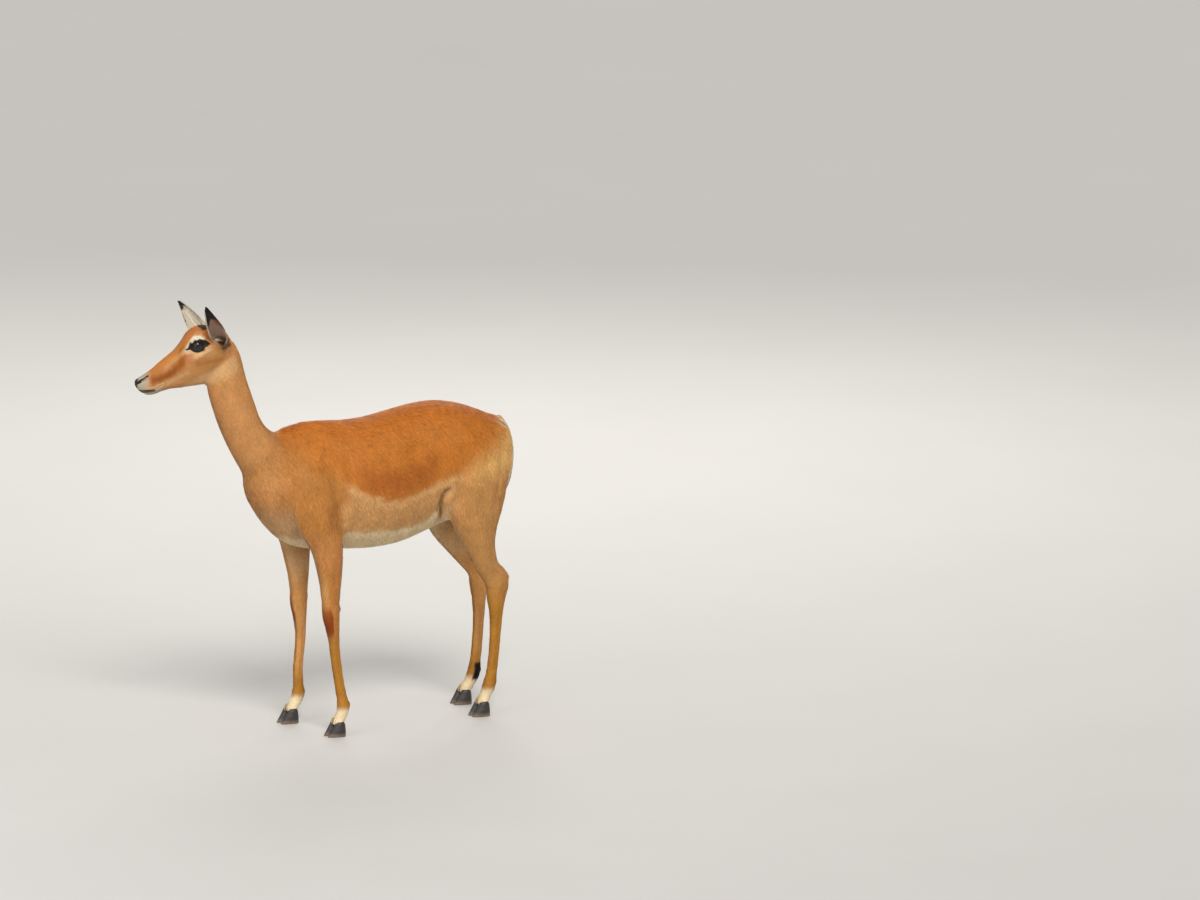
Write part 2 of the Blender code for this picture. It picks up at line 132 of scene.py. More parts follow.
def smoothed(rows: Sequence[Row], steps: int) -> Array:
    """Rows on a smooth curve through all the given ones.

    Args:
        rows: the rows that the curve passes.
        steps: how many rows there are for each given one.

    Returns:
        The rows as an array.
    """
    knots = np.array(rows, float)
    knots = np.vstack([knots[:1], knots, knots[-1:]])
    dense = []
    for p, q, r, s in zip(knots, knots[1:], knots[2:], knots[3:], strict=False):
        for step in range(steps):
            t = step / steps
            dense.append(q + 0.5 * t * (r - p + t * (2 * p - 5 * q + 4 * r - s + t * (3 * (q - r) + s - p))))
    dense.append(knots[-1])
    return np.array(dense)


def to_line(points: Array, line: Array) -> tuple[Array, Array]:
    """How far points are from a line of straight pieces.

    Args:
        points: the points, one on each row.
        line: the line's corners, one on each row.

    Returns:
        The distances, and the share of the way along the line where each point is nearest.
    """
    nearest = np.full(len(points), np.inf)
    share = np.zeros(len(points))
    pieces = max(len(line) - 1, 1)
    for i in range(pieces):
        start, end = line[i], line[min(i + 1, len(line) - 1)]
        along = end - start
        t = np.clip((points - start) @ along / max(along @ along, 1e-12), 0, 1)
        distance = np.linalg.norm(points - start - t[:, None] * along, axis=1)
        closer = distance < nearest
        nearest[closer] = distance[closer]
        share[closer] = (i + t[closer]) / pieces
    return nearest, share


def rows_at(knots: Array, rows: Array, value: Array) -> Array:
    """Rows read at some places, where each given row has its knot."""
    return np.column_stack([np.interp(value, knots, column) for column in rows.T])


def pairs_of(shares: Array, turns: Array) -> tuple[Array, Array]:
    """Every pair of two lists of values, the second running fastest."""
    share, turn = np.meshgrid(shares, turns, indexing="ij")
    return share.ravel(), turn.ravel()


def on_left(place: Array) -> Array:
    """Places with those on the right mirrored to the left."""
    return np.column_stack([place[:, 0], np.abs(place[:, 1]), place[:, 2]])


def up_the_neck(ahead: Array, up: Array) -> Array:
    """How far places are beyond the line where the neck leaves the trunk."""
    return (ahead - 0.415) * 0.8 + (up - 0.755) * 0.6


def srgb(red: float, green: float, blue: float) -> Array:
    """A linear colour from the 0 to 255 values of a paint chart."""
    value = np.array([red, green, blue]) / 255
    return np.where(value <= 0.04045, value / 12.92, ((value + 0.055) / 1.055) ** 2.4)


@dataclass(frozen=True)
class Axes:
    """Directions of a part of the body, with the point that its places are written from.

    Attributes:
        origin: the point.
        ahead: unit direction ahead.
        left: unit direction to her left.
        up: unit direction up.
    """

    origin: Array
    ahead: Array
    left: Array
    up: Array

    @property
    def rows(self) -> Array:
        """The three directions as the rows of a matrix."""
        return np.array([self.ahead, self.left, self.up])

    def place(self, local: Sequence[Row] | Array) -> Array:
        """World points of places written along these axes."""
        return self.origin + np.asarray(local, float) @ self.rows

    def direction(self, local: Sequence[float] | Array) -> Array:
        """World directions of ones written along these axes."""
        return np.asarray(local, float) @ self.rows

    def local(self, points: Array) -> Array:
        """World points as places along these axes."""
        return (points - self.origin) @ self.rows.T


def box_middle(node: str) -> Array:
    """The middle of a node's box."""
    low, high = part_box(node)
    return np.array((low + high) / 2)


def body_axes() -> Axes:
    """The axes of the body, from its hooves and its trunk.

    Returns:
        The axes, from the ground under her loins.
    """
    hooves = [f"hoof_fore_{side.word}_{claw}" for side in Side for claw in ("inner", "outer")]
    middle = np.mean([box_middle(hoof)[0] for hoof in hooves])
    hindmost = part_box("trunk")[1].y
    origin = np.array([middle, hindmost + TRUNK_END, 0.0])
    return Axes(origin, np.array([0.0, -1, 0]), np.array([1.0, 0, 0]), np.array([0.0, 0, 1]))


def head_axes() -> Axes:
    """The axes of the head, from its eyes and its pitch.

    Returns:
        The axes, from the middle between the eyes.
    """
    left_eye, right_eye = box_middle("eye_left"), box_middle("eye_right")
    left = unit(left_eye - right_eye)
    level = np.array([left[1], -left[0], 0.0])
    upright = np.array([0.0, 0, 1])
    ahead = level * math.cos(HEAD_PITCH) - upright * math.sin(HEAD_PITCH)
    up = level * math.sin(HEAD_PITCH) + upright * math.cos(HEAD_PITCH)
    return Axes((left_eye + right_eye) / 2, ahead, left, up)


BODY = body_axes()
HEAD = head_axes()
EYE_APART = float(np.linalg.norm(box_middle("eye_left") - HEAD.origin))
EYE_RADIUS = float(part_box("eye_left")[1].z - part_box("eye_left")[0].z) / 2


@dataclass(frozen=True)
class EyeShape:
    """The opening between the lids, in the head's own plane of ahead and up.

    Attributes:
        tilt: how far its front corner is turned up.
        middle: how far ahead of the eye's centre the opening's middle is.
        half: half its length.
        upper: height of the upper lid over its middle.
        lower: depth of the lower lid under its middle.
    """

    tilt: float = math.radians(8)
    middle: float = -0.0005
    half: float = 0.0176
    upper: float = 0.013
    lower: float = 0.0112

    def along(self, ahead: Array, up: Array) -> tuple[Array, Array]:
        """Places along and across the opening."""
        turn_cos, turn_sin = math.cos(self.tilt), math.sin(self.tilt)
        return ahead * turn_cos + up * turn_sin - self.middle, up * turn_cos - ahead * turn_sin

    def over(self, along: Array) -> Array:
        """Height of the upper lid's edge at places along the opening."""
        return self.upper * (1 - np.abs(along / self.half + 0.06 * (1 - (along / self.half) ** 2)) ** 2.2)

    def under(self, along: Array) -> Array:
        """Depth of the lower lid's edge at places along the opening."""
        return self.lower * (1 - np.abs(along / self.half) ** 2.0)

    def outside(self, ahead: Array, up: Array) -> Array:
        """How far places are outside the opening.

        Args:
            ahead: places ahead of the eye's centre.
            up: places above it.

        Returns:
            The distances, below zero inside.
        """
        along, across = self.along(ahead, up)
        edge = self.half * np.sin(np.linspace(-math.pi / 2, math.pi / 2, 31))
        front = np.column_stack([edge, self.over(edge)])
        back = np.column_stack([edge, -self.under(edge)])[::-1]
        distance = to_line(np.column_stack([along, across]), np.vstack([front, back]))[0]
        inner = np.clip(along, -self.half, self.half)
        inside = (np.abs(along) < self.half) & (across < self.over(inner)) & (across > -self.under(inner))
        return np.where(inside, -distance, distance)


EYE = EyeShape()


class MeshMaker:
    """Turns arrays into Blender objects."""

    @staticmethod
    def make(name: str, points: Array, faces: Sequence[Array], smooth: bool = True) -> Object:
        """An object from points and blocks of faces.

        Args:
            name: its name.
            points: its points, one on each row.
            faces: blocks of faces, each block with as many columns as its faces have corners.
            smooth: whether it is shaded smooth.

        Returns:
            The object, linked to the scene.
        """
        mesh = bpy.data.meshes.new(name)
        mesh.vertices.add(len(points))
        mesh.vertices.foreach_set("co", np.ascontiguousarray(points, np.float32).ravel())
        blocks = [np.asarray(block, np.int32) for block in faces if len(block)]
        corners = np.concatenate([block.ravel() for block in blocks])
        sizes = np.concatenate([np.full(len(block), block.shape[1], np.int32) for block in blocks])
        mesh.loops.add(len(corners))
        mesh.loops.foreach_set("vertex_index", corners)
        mesh.polygons.add(len(sizes))
        mesh.polygons.foreach_set("loop_start", np.concatenate([[0], np.cumsum(sizes)[:-1]]).astype(np.int32))
        mesh.update(calc_edges=True)
        mesh.polygons.foreach_set("use_smooth", np.full(len(sizes), smooth))
        made = bpy.data.objects.new(name, mesh)
        bpy.context.scene.collection.objects.link(made)
        return made

    @staticmethod
    def vectors(items: bpy.types.bpy_prop_collection, name: str) -> Array:
        """A vector of each of a mesh's items, one on each row.

        Args:
            items: the mesh's points, or its normals.
            name: the name of the vector in each.

        Returns:
            The vectors.
        """
        flat = np.empty(len(items) * 3, np.float32)
        items.foreach_get(name, flat)
        return flat.reshape(-1, 3).astype(float)

    @staticmethod
    def points(mesh: Mesh) -> Array:
        """A mesh's points, one on each row."""
        return MeshMaker.vectors(mesh.vertices, "co")

    @staticmethod
    def normals(mesh: Mesh) -> Array:
        """A mesh's directions outwards at its points, one on each row."""
        return MeshMaker.vectors(mesh.vertex_normals, "vector")

    @staticmethod
    def move(mesh: Mesh, points: Array) -> None:
        """Puts a mesh's points at new places."""
        mesh.vertices.foreach_set("co", np.ascontiguousarray(points, np.float32).ravel())
        mesh.update()

    @staticmethod
    def triangles(mesh: Mesh) -> Array:
        """A mesh's triangles, as the numbers of their three points.

        Args:
            mesh: the mesh.

        Returns:
            The triangles, one on each row.
        """
        mesh.calc_loop_triangles()
        flat = np.empty(len(mesh.loop_triangles) * 3, np.int32)
        mesh.loop_triangles.foreach_get("vertices", flat)
        return flat.reshape(-1, 3)

    @staticmethod
    def paint(mesh: Mesh, name: str, colours: Array) -> None:
        """Keeps a colour at each point of a mesh.

        Args:
            mesh: the mesh.
            name: the name that materials read it by.
            colours: linear colours, one on each row.
        """
        layer = mesh.attributes.new(name, "FLOAT_COLOR", "POINT")
        full = np.ones((len(colours), 4), np.float32)
        full[:, :3] = colours
        layer.data.foreach_set("color", full.ravel())

    @staticmethod
    def note(mesh: Mesh, name: str, values: Array) -> None:
        """Keeps a number at each point of a mesh, under a name that materials read it by."""
        layer = mesh.attributes.new(name, "FLOAT", "POINT")
        layer.data.foreach_set("value", np.ascontiguousarray(values, np.float32))

    @staticmethod
    def remeshed(made: Object, cell: float) -> Object:
        """Makes an object one even skin of small square faces.

        Args:
            made: the object, of closed pieces that may pass through each other.
            cell: the width of a face.

        Returns:
            The object.
        """
        fuse = made.modifiers.new("fuse", "REMESH")
        fuse.mode = "VOXEL"
        fuse.voxel_size = cell
        bpy.context.view_layer.update()
        made.data = bpy.data.meshes.new_from_object(made.evaluated_get(bpy.context.evaluated_depsgraph_get()))
        made.modifiers.clear()
        return made

    @classmethod
    def relaxed(
        cls,
        mesh: Mesh,
        rounds: int,
        where: Array | None = None,
        shrink: float = 0.5,
        regrow: float = -0.53,
    ) -> None:
        """Smooths small facets away and keeps the girth of thin parts.

        Args:
            mesh: the mesh.
            rounds: how many times a shrinking and a growing step follow each other.
            where: how much each point takes part, from 0 to 1, or all of them fully.
            shrink: how far the first step goes towards the neighbours' middle.
            regrow: how far the second goes, below zero for away from it.
        """
        pairs = np.empty(len(mesh.edges) * 2, np.int32)
        mesh.edges.foreach_get("vertices", pairs)
        one, other = pairs.reshape(-1, 2).T
        count = len(mesh.vertices)
        points = cls.points(mesh)
        pull = 1 / np.maximum(np.linalg.norm(points[one] - points[other], axis=1), 1e-5)
        total = np.bincount(one, pull, count) + np.bincount(other, pull, count)
        weight = np.ones(count) if where is None else where
        for _ in range(rounds):
            for factor in (shrink, regrow):
                around = np.empty_like(points)
                for k in range(3):
                    around[:, k] = np.bincount(one, pull * points[other, k], count)
                    around[:, k] += np.bincount(other, pull * points[one, k], count)
                points += (around / total[:, None] - points) * (factor * weight)[:, None]
        cls.move(mesh, points)

    @staticmethod
    def face_out(made: Object) -> None:
        """Turns the faces of a closed object outwards.

        Args:
            made: the object.
        """
        net = bmesh.new()
        net.from_mesh(made.data)
        bmesh.ops.recalc_face_normals(net, faces=net.faces)
        net.to_mesh(made.data)
        net.free()

    @staticmethod
    def refined(mesh: Mesh, chosen: Callable[[Array], Array]) -> None:
        """Splits the faces of some places in four.

        Args:
            mesh: the mesh.
            chosen: says for points, one on each row, which are in those places.
        """
        net = bmesh.new()
        net.from_mesh(mesh)
        middles = np.array([face.calc_center_median() for face in net.faces])
        faces = [face for face, pick in zip(net.faces, chosen(middles), strict=True) if pick]
        edges = list({edge for face in faces for edge in face.edges})
        bmesh.ops.subdivide_edges(net, edges=edges, cuts=1, use_grid_fill=True)
        for face in net.faces:
            face.smooth = True
        net.to_mesh(mesh)
        net.free()


def settle(piece: Object, material: Material, slot: str, *nodes: str) -> None:
    """Gives a piece its material and its body, and hides the nodes that it stands for.

    Args:
        piece: the piece.
        material: its material.
        slot: not used.
        nodes: the nodes that it stands for, if any.
    """
    piece.data.materials.clear()
    piece.data.materials.append(material)
    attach(piece, "root")
    if nodes:
        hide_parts(*nodes)
    log.info("%s: %d faces, %s", piece.name, len(piece.data.polygons), material.name)


@dataclass(frozen=True)
class Relief:
    """A ridge or a hollow along a line on the skin.

    Attributes:
        line: places of its line, along the axes of the part that it is on.
        reach: how wide it is, either way.
        height: how high it stands, below zero for a hollow.
        paired: whether the other side has one too.
        fades: whether it dies out towards the ends of its line.
    """

    line: tuple[Row, ...]
    reach: float
    height: float
    paired: bool = True
    fades: bool = True


# Forms of the trunk and the neck, along the body's axes
BODY_RELIEF = (
    Relief(((0.262, 0.072, 0.8), (0.335, 0.088, 0.68)), 0.013, 0.0028),  # spine of the shoulder blade
    Relief(((0.222, 0.09, 0.78), (0.214, 0.12, 0.68), (0.238, 0.115, 0.58)), 0.017, -0.0045),
    Relief(((0.388, 0.075, 0.672),), 0.026, 0.005),  # point of the shoulder
    Relief(((0.27, 0.118, 0.64), (0.3, 0.11, 0.6)), 0.032, 0.005),  # upper arm
    Relief(((0.352, 0.098, 0.64), (0.318, 0.108, 0.56)), 0.009, -0.0028),
    Relief(((0.232, 0.105, 0.552),), 0.015, 0.005),  # elbow
    Relief(((-0.062, 0.095, 0.8),), 0.021, 0.006),  # hip bone
    Relief(((-0.015, 0.108, 0.778), (0.01, 0.118, 0.74)), 0.03, -0.005),  # hollow of the flank
    Relief(((-0.292, 0.06, 0.762),), 0.018, 0.0042),  # pin bone
    Relief(((-0.255, 0.1, 0.735), (-0.238, 0.118, 0.64), (-0.215, 0.112, 0.56)), 0.01, -0.0026),
    Relief(((-0.122, 0.11, 0.56), (-0.13, 0.108, 0.53)), 0.02, 0.004),  # stifle
    Relief(((-0.3, 0.0, 0.79),), 0.028, 0.006, False),  # root of the tail
    Relief(((-0.13, 0.118, 0.76), (-0.15, 0.125, 0.66)), 0.04, 0.003),  # haunch
    Relief(((0.56, 0.0, 0.945), (0.5, 0.028, 0.86), (0.44, 0.052, 0.76)), 0.01, -0.0024),
    Relief(((0.56, -0.045, 0.945), (0.5, -0.044, 0.86), (0.44, -0.052, 0.76)), 0.01, -0.0024, False),
    Relief(((0.447, 0.0, 0.7), (0.4, 0.0, 0.56)), 0.01, 0.003, False),  # breastbone
    Relief(((0.43, 0.04, 0.7), (0.375, 0.05, 0.59)), 0.012, -0.0035),
)
# Forms of the groin, drawn onto the skin: the crease, the thigh's edge behind it and the flank's before it
GROIN_RELIEF = (
    Relief(
        ((-0.09, 0.1, 0.64), (-0.076, 0.1, 0.62), (-0.07, 0.1, 0.595), (-0.08, 0.1, 0.545)),
        0.0085,
        -0.012,
    ),
    Relief(((-0.112, 0.1, 0.64), (-0.092, 0.1, 0.6), (-0.096, 0.1, 0.56)), 0.014, 0.0045),
    Relief(((-0.03, 0.1, 0.655), (-0.046, 0.1, 0.605), (-0.05, 0.1, 0.572)), 0.014, 0.004),
)
# A rib's line, ahead of where it starts, and where each rib does
RIB = ((0, 0.098, 0.765), (-0.018, 0.124, 0.69), (-0.02, 0.126, 0.63), (-0.004, 0.104, 0.56))
RIB_STARTS = tuple(0.196 - 0.0235 * k for k in range(8))
# Where the neck grows from the breast: the throat, and places on either side, each with its reach
THROAT = (0.452, 0.0, 0.735)
NECK_SIDES = (((0.4, 0.055, 0.745), 0.06), ((0.29, 0.075, 0.775), 0.05))

# Forms of the lower legs: ahead and outwards of the leg's own middle line, and up
CLEFT = (
    Relief(((0.015, 0.0, 0.064), (0.017, 0.0, 0.03)), 0.0032, -0.0036, False),
    Relief(((-0.016, 0.0, 0.06), (-0.018, 0.0, 0.03)), 0.0032, -0.0036, False),
)
FORE_RELIEF = (
    Relief(((0.021, 0.0, 0.34), (0.02, 0.0, 0.312)), 0.012, 0.0018, False),  # front of the knee
    Relief(((-0.022, 0.003, 0.343),), 0.009, 0.0038, False),
    Relief(((0.004, 0.02, 0.328),), 0.009, 0.0012),
    Relief(((-0.003, 0.013, 0.275), (-0.003, 0.013, 0.12)), 0.0045, -0.0022),  # before the tendon
    Relief(((-0.01, 0.03, 0.49), (0.0, 0.024, 0.4)), 0.006, -0.002, False),
    Relief(((-0.018, 0.0, 0.084),), 0.009, 0.0026, False),  # back of the fetlock
    Relief(((0.0, 0.016, 0.08),), 0.009, 0.0012),
    *CLEFT,
)
HIND_RELIEF = (
    Relief(((-0.038, 0.0, 0.374),), 0.01, 0.0036, False),  # point of the hock
    Relief(((-0.03, 0.0, 0.405), (-0.036, 0.0, 0.47)), 0.009, 0.0022, False),
    Relief(((-0.013, 0.016, 0.388), (-0.016, 0.024, 0.45)), 0.009, -0.0036),
    Relief(((0.004, 0.019, 0.348),), 0.011, 0.0018),
    Relief(((-0.003, 0.013, 0.3), (-0.003, 0.013, 0.12)), 0.0045, -0.0024),
    Relief(((-0.018, 0.0, 0.088),), 0.009, 0.0026, False),
    Relief(((0.0, 0.016, 0.083),), 0.009, 0.0012),
    *CLEFT,
)

# Forms of the head, along its own axes
HEAD_RELIEF = (
    Relief(((-0.014, 0.047, -0.066),), 0.026, 0.0036),  # cheek
    Relief(((0.034, 0.041, -0.031), (0.0, 0.05, -0.027), (-0.038, 0.048, -0.02)), 0.007, 0.003),
    Relief(((0.09, 0.03, -0.05), (0.04, 0.041, -0.042)), 0.009, 0.0022),
    Relief(((0.052, 0.034, -0.012), (0.115, 0.023, -0.023)), 0.01, -0.0034),  # beside the nose bone
    Relief(((0.105, 0.028, -0.066), (0.045, 0.036, -0.078)), 0.01, -0.0024),
    Relief(((0.022, 0.036, 0.02), (0.0, 0.04, 0.026), (-0.022, 0.041, 0.022)), 0.007, 0.0034),  # brow
    Relief(((-0.046, 0.04, 0.01),), 0.013, -0.0026),
    Relief(((-0.004, 0.034, -0.113), (0.06, 0.022, -0.101)), 0.008, 0.0018),  # edge of the jaw
    Relief(((-0.03, 0.046, -0.095), (-0.036, 0.046, -0.05)), 0.009, 0.002),
    Relief(((-0.056, 0.044, -0.004),), 0.016, 0.005),  # root of the ear
    Relief(((0.158, 0.02, -0.0195), (0.186, 0.014, -0.0245)), 0.005, 0.0014),  # wing of the nostril
    Relief(((0.16, 0.022, -0.03), (0.187, 0.012, -0.035)), 0.005, 0.0012),
    Relief(((0.182, 0.012, -0.044), (0.15, 0.023, -0.053)), 0.007, 0.0016),  # upper lip
    Relief(((0.168, 0.0, -0.074),), 0.012, 0.0012, False),
)
HEAD_FOLDS = (
    Relief(((0.152, 0.019, -0.0226), (0.168, 0.02, -0.024), (0.18, 0.017, -0.0268)), 0.003, -0.0075),
    Relief(((0.178, 0.018, -0.0266), (0.187, 0.011, -0.031)), 0.0019, -0.0036),
    Relief(((0.19, 0.0, -0.03), (0.189, 0.0, -0.048)), 0.0012, -0.0018, False),
    Relief(
        ((0.187, 0.0, -0.049), (0.182, 0.012, -0.05), (0.17, 0.02, -0.055), (0.156, 0.024, -0.061)),
        0.0015,
        -0.0032,
        fades=False,
    ),
    Relief(((0.156, 0.024, -0.061), (0.14, 0.0265, -0.063), (0.124, 0.0275, -0.0615)), 0.0014, -0.0024),
)

NOSTRIL = ((0.149, -0.0232), (0.168, -0.0242), (0.182, -0.0268), (0.19, -0.03))

# Head, from the poll to the nose: ahead of the eyes, top, bottom, height of the widest place, half width,
# fullness above, fullness below
HEAD_STATIONS = (
    (-0.088, -0.004, -0.06, -0.03, 0.029, 2.0, 2.0),
    (-0.07, 0.017, -0.088, -0.026, 0.042, 2.1, 1.8),
    (-0.045, 0.031, -0.107, -0.018, 0.049, 2.3, 1.7),
    (-0.02, 0.0365, -0.117, -0.01, 0.052, 2.4, 1.6),  # behind the eyes
    (0.005, 0.0305, -0.12, -0.01, 0.051, 2.4, 1.6),  # brow
    (0.03, 0.0165, -0.114, -0.02, 0.0458, 2.2, 1.6),
    (0.055, 0.006, -0.1045, -0.033, 0.0388, 2.0, 1.7),  # cheek
    (0.08, -0.0002, -0.096, -0.041, 0.0332, 1.9, 1.8),
    (0.105, -0.0065, -0.0865, -0.043, 0.0296, 1.9, 2.0),
    (0.13, -0.014, -0.0815, -0.044, 0.028, 2.0, 2.2),  # mouth
    (0.152, -0.019, -0.0795, -0.044, 0.027, 2.1, 2.2),
    (0.17, -0.0215, -0.071, -0.042, 0.0243, 2.1, 2.1),  # nostrils
    (0.184, -0.024, -0.056, -0.039, 0.018, 2.0, 2.0),
)


def grid_faces(rows: int, columns: int, closed: bool = False) -> Array:
    """Square faces over a grid of points. If closed, each row also joins its own start.

    Args:
        rows: how many rows of points there are.
        columns: how many points each has.
        closed: whether each row also joins its own start.

    Returns:
        The faces, as the numbers of their four points.
    """
    numbers = np.arange(rows * columns).reshape(rows, columns)
    if closed:
        numbers = np.hstack([numbers, numbers[:, :1]])
    blocks = [numbers[:-1, :-1], numbers[:-1, 1:], numbers[1:, 1:], numbers[1:, :-1]]
    return np.stack(blocks, -1).reshape(-1, 4)


def tube(name: str, points: Array, columns: int) -> Object:
    """A tube through rings of points, closed by a flat face at each end.

    Args:
        name: its name.
        points: the points, ring after ring.
        columns: how many points a ring has.

    Returns:
        The object.
    """
    ring = np.arange(columns)
    faces = grid_faces(len(points) // columns, columns, closed=True)
    return MeshMaker.make(name, points, [faces, ring[None, ::-1], (ring + len(points) - columns)[None]])


def ovals(rows: Array, axes: Axes, around: int) -> Array:
    """Rings square to a straight part.

    Args:
        rows: rows like those of HEAD_STATIONS.
        axes: the part's axes.
        around: how many points a ring has.

    Returns:
        The rings, as an array of rings, points and coordinates.
    """
    turn = np.arange(around) * 2 * math.pi / around
    cos, sin = np.cos(turn), np.sin(turn)
    rings = []
    for ahead, top, bottom, widest, half, over, under in rows:
        power = np.where(sin >= 0, 2 / over, 2 / under)
        reach = np.where(sin >= 0, top - widest, widest - bottom)
        left = np.sign(cos) * np.abs(cos) ** power * half
        up = widest + np.sign(sin) * np.abs(sin) ** power * reach
        rings.append(axes.place(np.column_stack([np.full(around, ahead), left, up])))
    return np.array(rings)


def lofted(name: str, rings: Array, bulges: tuple[float, float]) -> Object:
    """A closed object through rings.

    Args:
        name: its name.
        rings: the rings, as an array of rings, points and coordinates.
        bulges: how far the point that closes each end stands off it.

    Returns:
        The object.
    """
    count = rings.shape[1]
    points = rings.reshape(-1, 3)
    k = np.arange(count)
    quads = grid_faces(len(rings), count, closed=True)
    first, last = rings[0].mean(0), rings[-1].mean(0)
    poles = [
        first + unit(first - rings[1].mean(0)) * bulges[0],
        last + unit(last - rings[-2].mean(0)) * bulges[1],
    ]
    base = len(points)
    start = np.column_stack([(k + 1) % count, k, np.full(count, base)])
    tail = base - count
    end = np.column_stack([tail + k, tail + (k + 1) % count, np.full(count, base + 1)])
    made = MeshMaker.make(name, np.vstack([points, poles]), [quads, np.vstack([start, end])])
    MeshMaker.face_out(made)
    return made


class Region(Enum):
    """A stretch of the coat that is a piece of its own."""

    FACE = "coat_face"
    CROWN = "coat_crown"
    NECK = "coat_neck"
    SHOULDERS = "coat_shoulders"
    RIBS = "coat_ribs"
    LOINS = "coat_loins"
    RUMP = "coat_rump"
    THIGH_LEFT = "coat_thigh_left"
    THIGH_RIGHT = "coat_thigh_right"
    FORE_LEFT = "coat_fore_left"
    FORE_RIGHT = "coat_fore_right"
    HIND_LEFT = "coat_hind_left"
    HIND_RIGHT = "coat_hind_right"


# Where pieces of the coat meet: ahead of the ground under her loins, up on the legs, and ahead of the eyes
SHOULDERS_FROM, RIBS_FROM, LOINS_FROM = 0.185, 0.045, -0.088
THIGH_TOP, LEG_TOPS = 0.655, {End.FORE: 0.5, End.HIND: 0.4}
CROWN_FROM, FACE_FROM = -0.078, 0.012
# What counts as a leg: fore legs are ahead of the first place and hind legs behind the second
FORE_FROM, HIND_TO, LEG_ASIDE = 0.19, -0.06, 0.012
LEG_LEAVES = {End.FORE: 0.5, End.HIND: 0.52}
# What counts as the head, along its own axes, and above the ground
HEAD_FROM, HEAD_BOTTOM, HEAD_HALF, HEAD_ABOVE = -0.085, -0.125, 0.08, 0.9


